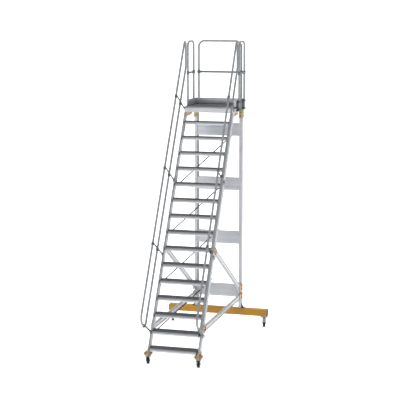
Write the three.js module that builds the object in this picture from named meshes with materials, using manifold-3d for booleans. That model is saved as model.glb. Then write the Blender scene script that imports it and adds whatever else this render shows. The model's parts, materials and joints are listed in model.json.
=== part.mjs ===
// Mobile platform stair: an aluminium flight with handrails, a guarded platform, a rear frame of
// two posts on a wide crossbeam, and four braked swivel castors.
// Millimetres, +Z up. X runs across the flight and +Y towards the rear.
import * as THREE from 'three';
import { mergeVertices } from 'three/addons/utils/BufferGeometryUtils.js';
import Module from 'manifold-3d';

const wasm = await Module();
wasm.setup();

// ---------- Driving dimensions ----------
const gap = 0.3;                     // left between pieces that touch

// Flight. y = 0 is the nosing of the lowest tread.
const treadCount = 15;
const rise = 240;
const slope = THREE.MathUtils.degToRad(60);
const treadDepth = 205;
const noseHeight = 46;
const treadRearLip = 28;
const clearWidth = 780;              // between the stringers
const treadGrooves = 4;
const stringerWidth = 30;
const stringerFront = 45;            // behind the nosing line, square to the slope
const stringerDepth = 97;
const stringerFootZ = 200;

// Platform
const deckZ = rise * (treadCount + 1);
const deckThickness = 31;
const deckGrooves = 10;
const frameHeight = 64;
const platformHalfWidth = 420;
const platformRearY = 2790;
const toeHeight = 100;
const toeThickness = 20;
const toeFrontY = 2195;

// Rear frame
const postInnerX = 368;
const postOuterX = 420;
const postDepth = 90;
const panelHeight = 215;
const panelLowestZ = 602;            // middle of the lowest panel
const panelPitch = 936;
const panelCount = 4;
const beamHalfLength = 886;
const beamFrontY = 2667;
const beamRearY = 2795;
const beamBottomZ = 185;
const beamTopZ = 297;

// Rails
const tubeRadius = 17.5;
const tubeSides = 8;
const handrailX = 445;
const outerRailOffset = 440;         // in front of the nosing line, square to the slope
const innerRailOffset = 165;
const handrailEndY = 2257;
const railTopZ = 4906;
const kneeRailZ = 4381;
const sideLegY = [2381, 2734];
const rearLegX = 374;
const rearLegY = 2812.5;
const legFootZ = 3755;

// Castors
const castorTurn = THREE.MathUtils.degToRad(12);
const trail = 34;
const frontCastor = { x: 408, y: 36, mountZ: 125, wheelRadius: 50, splay: 12, plateHalf: 46 };
const rearCastor = { x: 826, y: 2730, mountZ: 177, wheelRadius: 62.5, splay: 32, plateHalf: 58 };
const wheelHalfWidth = 22;

// ---------- Materials ----------
const material = (color, roughness, metalness) =>
  new THREE.MeshStandardMaterial({ color, roughness, metalness });
const aluminium = material(0xb4b7bc, 0.42, 0.85);
const treadAluminium = material(0x77797b, 0.55, 0.8);
const zinc = material(0x7d8582, 0.45, 0.8);
const orangeCasting = material(0xd9a45f, 0.5, 0.1);
const yellowCasting = material(0xb59a45, 0.5, 0.2);
const ochrePaint = material(0xb8862a, 0.45, 0.1);
const blackRubber = material(0x16171a, 0.8, 0);
const blackSteel = material(0x2a2c2e, 0.6, 0.1);

// ---------- Joining and cutting ----------
function toSolid(geometry) {
  const bare = geometry.clone();
  bare.deleteAttribute('normal');
  bare.deleteAttribute('uv');
  const merged = mergeVertices(bare, 1e-3);
  return new wasm.Manifold(new wasm.Mesh({
    numProp: 3,
    vertProperties: new Float32Array(merged.attributes.position.array),
    triVerts: new Uint32Array(merged.index.array),
  }));
}

function toGeometry(solid) {
  const mesh = solid.getMesh();
  const geometry = new THREE.BufferGeometry();
  geometry.setAttribute('position', new THREE.BufferAttribute(mesh.vertProperties, 3));
  geometry.setIndex(new THREE.BufferAttribute(mesh.triVerts, 1));
  return geometry;
}

const joined = (...pieces) =>
  toGeometry(pieces.map(toSolid).reduce((whole, piece) => whole.add(piece)));
const cut = (body, ...tools) =>
  toGeometry(tools.map(toSolid).reduce((rest, tool) => rest.subtract(tool), toSolid(body)));
const overlap = (a, b) => toGeometry(toSolid(a).intersect(toSolid(b)));

// ---------- Placing ----------
const X = new THREE.Vector3(1, 0, 0);
const Y = new THREE.Vector3(0, 1, 0);
const Z = new THREE.Vector3(0, 0, 1);
const alongFlight = new THREE.Vector3(0, Math.cos(slope), Math.sin(slope));
const behindFlight = new THREE.Vector3(0, Math.sin(slope), -Math.cos(slope));

// A point of the flight: x across, s up the slope from the lowest nosing, p behind the nosing line.
const flightPoint = (x, s, p) => new THREE.Vector3(x, 0, rise)
  .addScaledVector(alongFlight, s)
  .addScaledVector(behindFlight, p);

function polygon(points) {
  return new THREE.Shape(points.map(([a, b]) => new THREE.Vector2(a, b)));
}

function extrude(shape, depth, basis, origin, curveSegments = 8) {
  const geometry = new THREE.ExtrudeGeometry(shape, { depth, bevelEnabled: false, curveSegments });
  geometry.applyMatrix4(new THREE.Matrix4().makeBasis(...basis).setPosition(origin));
  return geometry;
}

// Outlines in (y, z) run along X, in (x, z) along Y, and in (x, p) along the flight.
const runX = (shape, x0, x1, segments) =>
  extrude(shape, x1 - x0, [Y, Z, X], new THREE.Vector3(x0, 0, 0), segments);
const runY = (shape, y0, y1, segments) =>
  extrude(shape, y1 - y0, [X, Z, Y.clone().negate()], new THREE.Vector3(0, y1, 0), segments);
const runZ = (shape, z0, z1, segments) =>
  extrude(shape, z1 - z0, [X, Y, Z], new THREE.Vector3(0, 0, z0), segments);
const runFlight = (shape, s0, s1) =>
  extrude(shape, s1 - s0, [X, behindFlight, alongFlight], flightPoint(0, s0, 0));
// An outline in (p, s), seen from the side of the flight, running along X.
const runFlightSide = (points, x0, x1) =>
  extrude(polygon(points), x1 - x0, [behindFlight, alongFlight, X], new THREE.Vector3(x0, 0, rise));
// Where a line at p behind the nosing line stands at height z.
const flightY = (p, z) => (z - rise) / Math.tan(slope) + p / Math.sin(slope);

function block(x0, x1, y0, y1, z0, z1) {
  const geometry = new THREE.BoxGeometry(x1 - x0, y1 - y0, z1 - z0);
  geometry.translate((x0 + x1) / 2, (y0 + y1) / 2, (z0 + z1) / 2);
  return geometry;
}

function rod(from, to, radius, sides = 8) {
  const direction = to.clone().sub(from);
  const geometry = new THREE.CylinderGeometry(radius, radius, direction.length(), sides);
  geometry.applyQuaternion(new THREE.Quaternion().setFromUnitVectors(Y, direction.clone().normalize()));
  geometry.translate(...from.clone().add(to).multiplyScalar(0.5).toArray());
  return geometry;
}

// The same piece on the other side of the flight.
function mirrored(geometry) {
  const copy = geometry.index ? geometry.clone() : mergeVertices(geometry, 1e-3);
  copy.scale(-1, 1, 1);
  const index = copy.index.array;
  for (let i = 0; i < index.length; i += 3) {
    [index[i], index[i + 1]] = [index[i + 1], index[i]];
  }
  return copy;
}

// ---------- Bent tubes ----------
// Straight runs between corners, with each corner rounded to its own bend radius.
class BentPath extends THREE.Curve {
  constructor(corners, radii, bendSteps = 5) {
    super();
    this.knots = [corners[0]];
    for (let i = 1; i < corners.length - 1; i += 1) {
      this.addBend(corners[i - 1], corners[i], corners[i + 1], radii[i - 1], bendSteps);
    }
    this.knots.push(corners.at(-1));
  }

  addBend(before, corner, after, radius, bendSteps) {
    const inward = before.clone().sub(corner).normalize();
    const outward = after.clone().sub(corner).normalize();
    const half = inward.angleTo(outward) / 2;
    const centre = inward.clone().add(outward).normalize()
      .multiplyScalar(radius / Math.sin(half)).add(corner);
    const start = corner.clone().addScaledVector(inward, radius / Math.tan(half));
    const axis = new THREE.Vector3().crossVectors(outward, inward).normalize();
    const turn = Math.PI - 2 * half;
    for (let step = 0; step <= bendSteps; step += 1) {
      const spoke = start.clone().sub(centre).applyAxisAngle(axis, turn * step / bendSteps);
      this.knots.push(spoke.add(centre));
    }
  }

  get steps() {
    return this.knots.length - 1;
  }

  getPoint(t) {
    const place = t * this.steps;
    const index = Math.min(Math.floor(place), this.steps - 1);
    return this.knots[index].clone().lerp(this.knots[index + 1], place - index);
  }

  getPointAt(u) {
    return this.getPoint(u);
  }

  getTangentAt(u) {
    const index = Math.round(u * this.steps);
    const previous = this.knots[Math.max(index - 1, 0)];
    const here = this.knots[index];
    const next = this.knots[Math.min(index + 1, this.steps)];
    const arriving = here.clone().sub(previous).normalize();
    const leaving = next.clone().sub(here).normalize();
    return arriving.add(leaving).normalize();
  }
}

function bentTube(corners, radii, radius = tubeRadius) {
  const path = new BentPath(corners, radii);
  const section = new THREE.Shape().absarc(0, 0, radius, 0, 2 * Math.PI);
  return new THREE.ExtrudeGeometry(section, {
    steps: path.steps, extrudePath: path, curveSegments: tubeSides / 2, bevelEnabled: false,
  });
}

const model = new THREE.Group();

function add(name, geometry, finish, parent = model) {
  const mesh = new THREE.Mesh(geometry, finish);
  mesh.name = name;
  parent.add(mesh);
}

function addPair(name, geometry, finish) {
  add(`${name}_right`, geometry, finish);
  add(`${name}_left`, mirrored(geometry), finish);
}

// ---------- Flight ----------
const run = rise / Math.tan(slope);
const stringerInnerX = clearWidth / 2;
const stringerOuterX = stringerInnerX + stringerWidth;
const stringerRear = stringerFront + stringerDepth;
const frameBottomZ = deckZ - deckThickness - gap - frameHeight;

// Top of a tread or of the deck: grooves across its depth, and lips that hang down in front and behind.
function ribbedProfile(depth, grooves, nose, rearLip, plate, grooveDepth = 2) {
  const wall = 4;
  const pitch = depth / (grooves + 0.5);
  const outline = [[0, -nose], [0, 0]];
  for (let i = 0; i < grooves; i += 1) {
    const start = pitch * (i + 0.5);
    const end = start + pitch / 2;
    outline.push([start, 0], [start, -grooveDepth], [end, -grooveDepth], [end, 0]);
  }
  outline.push([depth, 0], [depth, -rearLip], [depth - wall, -rearLip], [depth - wall, -plate]);
  outline.push([wall, -plate], [wall, -nose]);
  return polygon(outline);
}

function addTreads() {
  const end = clearWidth / 2 - gap;
  const geometry = runX(ribbedProfile(treadDepth, treadGrooves, noseHeight, treadRearLip, 7), -end, end);
  for (let n = 1; n <= treadCount; n += 1) {
    const tread = new THREE.Group();
    tread.position.set(0, (n - 1) * run, n * rise);
    add(`tread_${String(n).padStart(2, '0')}`, geometry, treadAluminium, tread);
    model.add(tread);
  }
}

function addStringers() {
  const wall = 3;
  const groove = 2;
  const grooveEdge = 24;
  const outline = polygon([
    [stringerInnerX, stringerFront], [stringerOuterX, stringerFront],
    [stringerOuterX, stringerFront + grooveEdge], [stringerOuterX - groove, stringerFront + grooveEdge],
    [stringerOuterX - groove, stringerRear - grooveEdge], [stringerOuterX, stringerRear - grooveEdge],
    [stringerOuterX, stringerRear], [stringerInnerX, stringerRear],
  ]);
  const innerWallX = stringerInnerX + wall;
  const outerWallX = stringerOuterX - groove - wall;
  const inside = [
    [innerWallX, stringerFront + wall], [innerWallX, stringerRear - wall],
    [outerWallX, stringerRear - wall], [outerWallX, stringerFront + wall],
  ];
  outline.holes.push(new THREE.Path(inside.map(([a, b]) => new THREE.Vector2(a, b))));
  // The bar is drawn too long at both ends, and level cuts leave it between the foot and the platform.
  const bar = runFlight(outline, -300, 4400);
  const ends = block(0, 600, -500, 3500, stringerFootZ, frameBottomZ - gap);
  addPair('stringer', overlap(bar, ends), aluminium);
}

// Four rods behind the treads, each from the left stringer up to the right one, with a tab at each end.
function addFlightBraces() {
  const radius = 9;
  const behind = 203;
  const first = 320;
  const pitch = 3 * rise / Math.sin(slope);
  const climb = 925;
  const middleX = stringerInnerX + stringerWidth / 2;
  const tabHalf = 20;
  const tabThickness = 18;
  const tabRear = behind + 12;
  const tab = (side, s) => runFlightSide([
    [stringerRear + gap, s - tabHalf], [tabRear, s - tabHalf],
    [tabRear, s + tabHalf], [stringerRear + gap, s + tabHalf],
  ], side * middleX - tabThickness / 2, side * middleX + tabThickness / 2);
  for (let i = 0; i < 4; i += 1) {
    const low = first + i * pitch;
    const high = low + climb;
    const bar = rod(flightPoint(-middleX, low, behind), flightPoint(middleX, high, behind), radius);
    add(`flight_brace_${i + 1}`, joined(bar, tab(-1, low), tab(1, high)), aluminium);
  }
}

// ---------- Platform ----------
const platformFrontY = treadCount * run;
const platformDepth = platformRearY - platformFrontY;

function addPlatform() {
  const profile = ribbedProfile(platformDepth, deckGrooves, deckThickness, deckThickness, 8);
  const deck = runX(profile, -platformHalfWidth, platformHalfWidth);
  deck.translate(0, platformFrontY, deckZ);
  add('platform_deck', deck, treadAluminium);

  const member = 42;
  const outer = platformHalfWidth;
  const frame = polygon([
    [-outer, platformFrontY], [outer, platformFrontY], [outer, platformRearY], [-outer, platformRearY],
  ]);
  const bays = 3;
  const bayDepth = (platformDepth - member * (bays + 1)) / bays;
  for (let bay = 0; bay < bays; bay += 1) {
    const y0 = platformFrontY + member + bay * (bayDepth + member);
    const y1 = y0 + bayDepth;
    const x = outer - member;
    frame.holes.push(new THREE.Path([[-x, y0], [-x, y1], [x, y1], [x, y0]]
      .map(([a, b]) => new THREE.Vector2(a, b))));
  }
  add('platform_frame', runZ(frame, frameBottomZ, frameBottomZ + frameHeight), aluminium);
}

function addToeBoards() {
  const z0 = deckZ + gap;
  const z1 = deckZ + toeHeight;
  const outerX = platformHalfWidth - 1;
  const innerX = outerX - toeThickness;
  const rearOuterY = platformRearY - 2;
  const rearInnerY = rearOuterY - toeThickness;
  const recess = 4;
  const bead = 14;
  // A board's section: a beaded edge above and below a thinner web, as distance from the inner face.
  const section = (inner, outer) => {
    const away = Math.sign(outer - inner);
    return polygon([
      [inner, z0], [outer, z0], [outer, z0 + bead], [outer - away * recess, z0 + bead],
      [outer - away * recess, z1 - bead], [outer, z1 - bead], [outer, z1], [inner, z1],
    ]);
  };
  addPair('toe_board', runY(section(innerX, outerX), toeFrontY, rearInnerY - gap), aluminium);
  add('toe_board_rear', runX(section(rearInnerY, rearOuterY), -outerX, outerX), aluminium);
}

// ---------- Rear frame ----------
const postFrontY = platformRearY - postDepth;

function addPosts() {
  const wall = 4;
  const channel = polygon([
    [postInnerX, postFrontY], [postOuterX, postFrontY], [postOuterX, platformRearY],
    [postInnerX, platformRearY], [postInnerX, platformRearY - wall],
    [postOuterX - wall, platformRearY - wall], [postOuterX - wall, postFrontY + wall],
    [postInnerX, postFrontY + wall],
  ]);
  addPair('rear_post', runZ(channel, beamTopZ + gap, frameBottomZ - gap), aluminium);

  const panelEnd = postOuterX - wall - gap;
  const setIn = 6;
  const y0 = postFrontY + wall + setIn;
  const y1 = platformRearY - wall - setIn;
  const half = panelHeight / 2;
  const groove = 3;
  const grooveFrom = half * 0.36;
  const grooveTo = half * 0.42;
  // The front face carries two shallow grooves along the panel.
  const panel = polygon([
    [y0, -half], [y0, -grooveTo], [y0 + groove, -grooveTo], [y0 + groove, -grooveFrom],
    [y0, -grooveFrom], [y0, grooveFrom], [y0 + groove, grooveFrom], [y0 + groove, grooveTo],
    [y0, grooveTo], [y0, half], [y1, half], [y1, -half],
  ]);
  for (let i = 0; i < panelCount; i += 1) {
    const geometry = runX(panel, -panelEnd, panelEnd);
    geometry.translate(0, 0, panelLowestZ + i * panelPitch);
    add(`cross_panel_${i + 1}`, geometry, aluminium);
  }
}

// Struts in line with the stringers and the posts, with a socket casting on each end.
const castingCheek = 7;
const castingOuterX = stringerOuterX + castingCheek;

function strutBar(from, to, height) {
  const overrun = 120;
  const recess = 4;
  const edge = height * 0.27;
  const half = height / 2;
  const along = to.clone().sub(from).normalize();
  const up = new THREE.Vector3().crossVectors(X, along);
  const section = polygon([
    [stringerInnerX, -half], [stringerOuterX, -half], [stringerOuterX, edge - half],
    [stringerOuterX - recess, edge - half], [stringerOuterX - recess, half - edge],
    [stringerOuterX, half - edge], [stringerOuterX, half], [stringerInnerX, half],
  ]);
  const start = to.clone().addScaledVector(along, overrun);
  const bar = extrude(section, from.distanceTo(to) + 2 * overrun, [X, up, along.clone().negate()], start);
  const low = beamTopZ;
  const high = deckZ / 2;
  const between = polygon([
    [flightY(stringerRear + gap, low), low], [postFrontY - gap, low],
    [postFrontY - gap, high], [flightY(stringerRear + gap, high), high],
  ]);
  return overlap(bar, runX(between, stringerInnerX - 1, stringerOuterX + 1));
}

// Round the foot of a strut: a socket behind the stringer, and a plate on the stringer's outer face.
function stringerFitting(s) {
  const half = 57;
  const corner = 20;
  const front = stringerFront + 5;
  const rear = stringerRear + 50;
  const plate = runFlightSide([
    [front, s - half + corner], [front + corner, s - half], [rear - corner, s - half],
    [rear, s - half + corner], [rear, s + half - corner], [rear - corner, s + half],
    [front + corner, s + half], [front, s + half - corner],
  ], stringerOuterX + gap, castingOuterX);
  const socket = runFlightSide([
    [stringerRear + gap, s - half], [rear - corner, s - half], [rear, s - half + corner],
    [rear, s + half - corner], [rear - corner, s + half], [stringerRear + gap, s + half],
  ], stringerInnerX, castingOuterX);
  return joined(plate, socket);
}

// Round the head of a strut: a socket before the post, and a plate on the post's outer face.
function postFitting(z, half) {
  const length = 100;
  const plateFrontY = postFrontY - 30;
  const plateRearY = platformRearY - 6;
  const socket = block(stringerInnerX, castingOuterX, postFrontY - length, postFrontY - gap,
    z - half, z + half);
  const plate = block(postOuterX + gap, castingOuterX, plateFrontY, plateRearY, z - half, z + half);
  return joined(socket, plate);
}

function addStruts() {
  const height = 91;
  const struts = {
    upper: { s: 1697, z: 627, fittingS: 1697, fittingZ: 668, half: 60 },
    lower: { s: 406, z: 513, fittingS: 413, fittingZ: 518, half: 54 },
  };
  for (const [level, { s, z, fittingS, fittingZ, half }] of Object.entries(struts)) {
    const bar = strutBar(flightPoint(0, s, stringerRear), new THREE.Vector3(0, postFrontY, z), height);
    addPair(`strut_${level}`, joined(bar, stringerFitting(fittingS), postFitting(fittingZ, half)), aluminium);
  }
}

// ---------- Castor mounts ----------
const kingpinRadius = 11.5;
const kingpinLength = 16;
const flangeRadius = 17;
const flangeThickness = 4;

// The fixed half of a castor: its plate, kingpin and retaining flange.
function castorMount(castor, side, plateThickness) {
  const x = side * castor.x;
  const at = z => new THREE.Vector3(x, castor.y, z);
  const half = castor.plateHalf;
  const plate = block(x - half, x + half, castor.y - half, castor.y + half,
    castor.mountZ, castor.mountZ + plateThickness);
  const pin = rod(at(castor.mountZ - kingpinLength), at(castor.mountZ + 1), kingpinRadius, 16);
  const flangeTop = castor.mountZ - kingpinLength;
  const flange = rod(at(flangeTop - flangeThickness), at(flangeTop), flangeRadius, 12);
  return [plate, pin, flange];
}

function addBeam() {
  const wall = 5;
  const corner = 6;
  const tube = polygon([
    [beamFrontY + corner, beamBottomZ], [beamRearY - corner, beamBottomZ],
    [beamRearY, beamBottomZ + corner], [beamRearY, beamTopZ - corner],
    [beamRearY - corner, beamTopZ], [beamFrontY + corner, beamTopZ],
    [beamFrontY, beamTopZ - corner], [beamFrontY, beamBottomZ + corner],
  ]);
  tube.holes.push(new THREE.Path([
    [beamFrontY + wall, beamBottomZ + wall], [beamFrontY + wall, beamTopZ - wall],
    [beamRearY - wall, beamTopZ - wall], [beamRearY - wall, beamBottomZ + wall],
  ].map(([a, b]) => new THREE.Vector2(a, b))));
  const plate = beamBottomZ - rearCastor.mountZ + 1;
  add('rear_beam', joined(
    runX(tube, -beamHalfLength, beamHalfLength),
    ...castorMount(rearCastor, 1, plate),
    ...castorMount(rearCastor, -1, plate),
  ), ochrePaint);
}

// A cup for the stringer's foot, on two round lobes over the castor plate.
function footCasting(side) {
  const { x, y, mountZ } = frontCastor;
  const wall = 14;
  const lipTop = stringerFootZ + 16;
  const socketZ = mountZ + 50;
  const baseZ = mountZ + 6;
  const baseHalf = 42;
  const plateThickness = 10;
  const frontY = z => flightY(stringerFront, z);
  const rearY = z => flightY(stringerRear, z);
  const floorZ = stringerFootZ - gap;
  const lapGap = 2 * gap;
  const cup = polygon([
    [y - baseHalf, baseZ], [y + baseHalf, baseZ], [rearY(socketZ) + wall, socketZ],
    [rearY(lipTop) + wall, lipTop], [rearY(lipTop) + lapGap, lipTop], [rearY(floorZ) + lapGap, floorZ],
    [frontY(floorZ) - lapGap, floorZ], [frontY(lipTop) - lapGap, lipTop], [frontY(lipTop) - wall, lipTop],
    [frontY(socketZ) - wall, socketZ],
  ]);
  const cheekOutline = polygon([
    [frontY(socketZ) - wall, socketZ], [rearY(socketZ) + wall, socketZ],
    [rearY(lipTop) + wall, lipTop], [frontY(lipTop) - wall, lipTop],
  ]);
  const onSide = (inner, outer) => (side > 0 ? [inner, outer] : [-outer, -inner]);
  const cupX = onSide(stringerInnerX, castingOuterX);
  const cheekX = onSide(stringerOuterX + gap, castingOuterX);
  const lobeRadius = 31;
  const lobeHalfDepth = 40;
  const lobeZ = mountZ + lobeRadius + 1;
  const lobe = along => {
    const at = end => new THREE.Vector3(side * x + along, y + end, lobeZ);
    return rod(at(-lobeHalfDepth), at(lobeHalfDepth), lobeRadius, 16);
  };
  const lobeSpread = 33;
  return joined(lobe(-lobeSpread), lobe(lobeSpread), runX(cup, ...cupX), runX(cheekOutline, ...cheekX),
    ...castorMount(frontCastor, side, plateThickness));
}

function addFootCastings() {
  add('foot_casting_right', footCasting(1), yellowCasting);
  add('foot_casting_left', footCasting(-1), yellowCasting);
}

// ---------- Head brackets ----------
function addHeadBrackets() {
  const top = frameBottomZ - gap;
  const rearFaceY = z => flightY(stringerRear, z) + 2 * gap;
  const length = 225;
  const depth = 66;
  const edge = 48;
  const bottom = top - depth;
  const farY = rearFaceY(top) + length;
  const taperY = rearFaceY(bottom) + length / 2;
  const gusset = polygon([
    [rearFaceY(top), top], [farY, top], [farY, top - edge], [taperY, bottom],
    [rearFaceY(bottom), bottom],
  ]);
  // The inner leaf laps the stringer's inner face, and stays above the highest tread.
  const lapY = z => flightY(stringerFront + 5, z);
  const leaf = polygon([
    [lapY(top), top], [farY, top], [farY, top - edge], [taperY, bottom], [lapY(bottom), bottom],
  ]);
  const leafThickness = 12;
  const leafOuterX = stringerInnerX - gap;
  addPair('stringer_head_bracket', joined(
    runX(gusset, leafOuterX - leafThickness, stringerOuterX),
    runX(leaf, leafOuterX - leafThickness, leafOuterX),
  ), orangeCasting);

  const plate = 12;
  const innerX = postInnerX - plate / 2;
  const drop = 135;
  const corner = polygon([
    [innerX, postFrontY - plate], [postOuterX + plate, postFrontY - plate],
    [postOuterX + plate, platformRearY], [postOuterX + gap, platformRearY],
    [postOuterX + gap, postFrontY - gap], [innerX, postFrontY - gap],
  ]);
  addPair('post_head_bracket', runZ(corner, top - drop, top), orangeCasting);
}

// ---------- Handrails and guard rails ----------
const sleeveRadius = 23;
const armThickness = 6;
const armX = platformHalfWidth + gap;

// A clamp round a tube.
function sleeve(centre, direction, length = 50) {
  const half = direction.clone().multiplyScalar(length / 2);
  return rod(centre.clone().sub(half), centre.clone().add(half), sleeveRadius);
}

// A flat arm square to the flight, from the stringer or the platform out to the rails.
function handrailArm(s, fromP, toP) {
  const half = 16;
  return runFlightSide([[fromP, s - half], [toP, s - half], [toP, s + half], [fromP, s + half]],
    armX, armX + armThickness);
}

// The foot of an arm, bolted to the stringer's outer face.
function armFoot(s) {
  const half = 28;
  const thickness = 18;
  const front = stringerFront + 8;
  const rear = stringerRear + 6;
  return runFlightSide([[front, s - half], [rear, s - half], [rear, s + half], [front, s + half]],
    armX, armX + thickness);
}

function addHandrails() {
  const bottomBend = (outerRailOffset - innerRailOffset) / 2;
  const kneeBend = 90;
  const bottomS = 292;
  const at = (s, p) => flightPoint(handrailX, s, p);
  const cornerZ = offset => rise + handrailEndY * Math.tan(slope) + offset / Math.cos(slope);
  const innerCorner = new THREE.Vector3(handrailX, handrailEndY, cornerZ(innerRailOffset));
  const outerCorner = new THREE.Vector3(handrailX, handrailEndY, cornerZ(outerRailOffset));
  // The top bend rises as far as railTopZ below its sharp corner.
  const halfTop = (Math.PI / 2 - slope) / 2;
  const topBend = (outerCorner.z - railTopZ) / (1 / Math.tan(halfTop) - 1);
  // The tube's two ends meet inside a clamp, nearer the inner run than the outer one.
  const seam = -(outerRailOffset + innerRailOffset) / 2 + 60;
  const innerBend = bottomBend - 62;
  const overrun = 20;
  const loop = bentTube(
    [at(bottomS, seam - 1), at(bottomS, -innerRailOffset), innerCorner, outerCorner,
      at(bottomS, -outerRailOffset), at(bottomS, seam + 1)],
    [innerBend, kneeBend, topBend, bottomBend],
  );
  const onStringer = stringerRear;
  const onPlatform = 95;
  const armEnd = -outerRailOffset - overrun / 2;
  const armPlaces = [[1572, onStringer], [2857, onStringer], [4132, onPlatform]];
  const pieces = [loop, sleeve(at(bottomS, seam), behindFlight, 56),
    handrailArm(bottomS, seam - overrun, onStringer), armFoot(bottomS)];
  for (const [s, toP] of armPlaces) {
    pieces.push(handrailArm(s, armEnd, toP));
    pieces.push(sleeve(at(s, -outerRailOffset), alongFlight));
    pieces.push(sleeve(at(s, -innerRailOffset), alongFlight, 62));
    if (toP === onStringer) {
      pieces.push(armFoot(s));
    }
  }
  addPair('handrail', joined(...pieces), aluminium);
}

// A bent frame of two legs and a top rail, with a knee rail clamped between the legs.
function guardFrame(footA, footB, bend) {
  const top = foot => foot.clone().setZ(railTopZ);
  const knee = foot => foot.clone().setZ(kneeRailZ);
  const frame = bentTube([footA, top(footA), top(footB), footB], [bend, bend]);
  const kneeRail = rod(knee(footA), knee(footB), tubeRadius - 1);
  return [frame, kneeRail, sleeve(knee(footA), Z, 46), sleeve(knee(footB), Z, 46)];
}

function addGuardRails() {
  const clampLow = frameBottomZ + 36;
  const clampHigh = deckZ + 70;
  const sideFeet = sideLegY.map(y => new THREE.Vector3(handrailX, y, legFootZ));
  const [legFrontY, legRearY] = sideLegY;
  const sidePlate = block(armX, armX + armThickness, legFrontY, legRearY,
    frameBottomZ, deckZ + toeHeight);
  const sideClamps = sideFeet.flatMap(foot =>
    [clampLow, clampHigh].map(z => sleeve(foot.clone().setZ(z), Z, 44)));
  addPair('guard_rail', joined(...guardFrame(...sideFeet, 95), sidePlate, ...sideClamps), aluminium);

  const rearFeet = [-1, 1].map(side => new THREE.Vector3(side * rearLegX, rearLegY, legFootZ));
  const plateY = platformRearY + gap;
  const plateHalf = 45;
  const plateTop = deckZ + toeHeight - 5;
  const rearPlates = [-1, 1].map(side => block(side * rearLegX - plateHalf, side * rearLegX + plateHalf,
    plateY, plateY + armThickness, frameBottomZ, plateTop));
  const clearOfPost = 0.8;
  const rearClamps = rearFeet.flatMap(foot =>
    [clampLow, clampHigh].map(z => sleeve(foot.clone().setZ(z), Z, 44).translate(0, clearOfPost, 0)));
  add('guard_rail_rear', joined(...guardFrame(...rearFeet, 100), ...rearPlates, ...rearClamps), aluminium);
}

// ---------- Castors ----------
// Each is drawn about its swivel axis with the wheel trailing towards -Y, then turned and placed.
function forkGeometry({ mountZ, wheelRadius, splay }) {
  const bearingTop = mountZ - 2 * gap;
  const bearingBottom = bearingTop - 9;
  const crownBottom = bearingBottom - 5;
  const bore = kingpinRadius + 0.8;
  const bearingRadius = 34;
  const plateX = wheelHalfWidth + 3;
  const plateThickness = 4;
  const cheekBack = 26;
  const cheekFront = -trail - 20;
  const at = (x, y, z) => new THREE.Vector3(x, y, z);
  const bearing = rod(at(0, 0, bearingBottom - 1), at(0, 0, bearingTop), bearingRadius, 20);
  const crownHalf = plateX + splay + plateThickness;
  const crown = block(-crownHalf, crownHalf, -24, cheekBack, crownBottom, bearingBottom);
  const hole = rod(at(0, 0, crownBottom - 1), at(0, 0, bearingTop + 1), bore, 16);
  const head = cut(joined(bearing, crown), hole);

  const eyeRadius = 15;
  const outline = new THREE.Shape();
  outline.moveTo(cheekBack, bearingBottom);
  outline.lineTo(cheekBack, bearingBottom - 14);
  outline.lineTo(-trail + eyeRadius, wheelRadius);
  outline.absarc(-trail, wheelRadius, eyeRadius, 0, -Math.PI, true);
  outline.lineTo(cheekFront, bearingBottom - 20);
  outline.lineTo(cheekFront, bearingBottom);
  outline.closePath();
  const cheek = runX(outline, plateX, plateX + plateThickness, 5);
  // The cheeks lean out from the bottom of the eye, by splay at the crown.
  const eyeBottom = wheelRadius - eyeRadius;
  const lean = splay / (bearingBottom - eyeBottom);
  const shear = new THREE.Matrix4().set(1, 0, lean, -lean * eyeBottom, 0, 1, 0, 0, 0, 0, 1, 0, 0, 0, 0, 1);
  cheek.applyMatrix4(shear);

  const cheekOuterX = plateX + plateThickness + lean * eyeRadius;
  const axleEnd = cheekOuterX + 6;
  const axle = rod(at(-axleEnd, -trail, wheelRadius), at(axleEnd, -trail, wheelRadius), 5.8, 12);
  const nut = side => rod(at(side * (cheekOuterX - 1), -trail, wheelRadius),
    at(side * axleEnd, -trail, wheelRadius), 10, 6);
  const pedal = pedalPivot(mountZ);
  const pinEnd = plateX + splay + 3;
  const pin = rod(at(-pinEnd, pedal.y, pedal.z), at(pinEnd, pedal.y, pedal.z), 3, 10);
  return joined(head, cheek, mirrored(cheek), axle, nut(1), nut(-1), pin);
}

const pedalPivot = mountZ => ({ y: -trail - 14, z: mountZ - 17 });

function wheelGeometry({ wheelRadius }) {
  const bore = 6.4;
  const half = wheelHalfWidth;
  const hub = 17;
  const web = 8;
  const rim = wheelRadius - 14;
  const shoulder = 5;
  const profile = [
    [bore, -half], [hub, -half], [hub, -web], [rim, -web], [rim + 2, -half],
    [wheelRadius - shoulder, -half], [wheelRadius, -half + shoulder],
    [wheelRadius, half - shoulder], [wheelRadius - shoulder, half],
    [rim + 2, half], [rim, web], [hub, web], [hub, half], [bore, half], [bore, -half],
  ].map(([r, x]) => new THREE.Vector2(r, x));
  const geometry = new THREE.LatheGeometry(profile, 20);
  geometry.rotateZ(-Math.PI / 2);
  geometry.translate(0, -trail, wheelRadius);
  return geometry;
}

// A foot lever on the fork's pin, pressed down on the brake. Its outline is measured from the pin.
const padOutlines = {
  front: [[-40, 4.5], [-58, 4.5], [-58, -4.5], [-40, -4.5]],
  // The rear pad hangs down in front of the wheel like a hood.
  rear: [[-12, 2.5], [-40, -4], [-58, -26], [-64, -64], [-60, -65], [-54, -28], [-38, -9], [-12, -3]],
};

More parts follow.
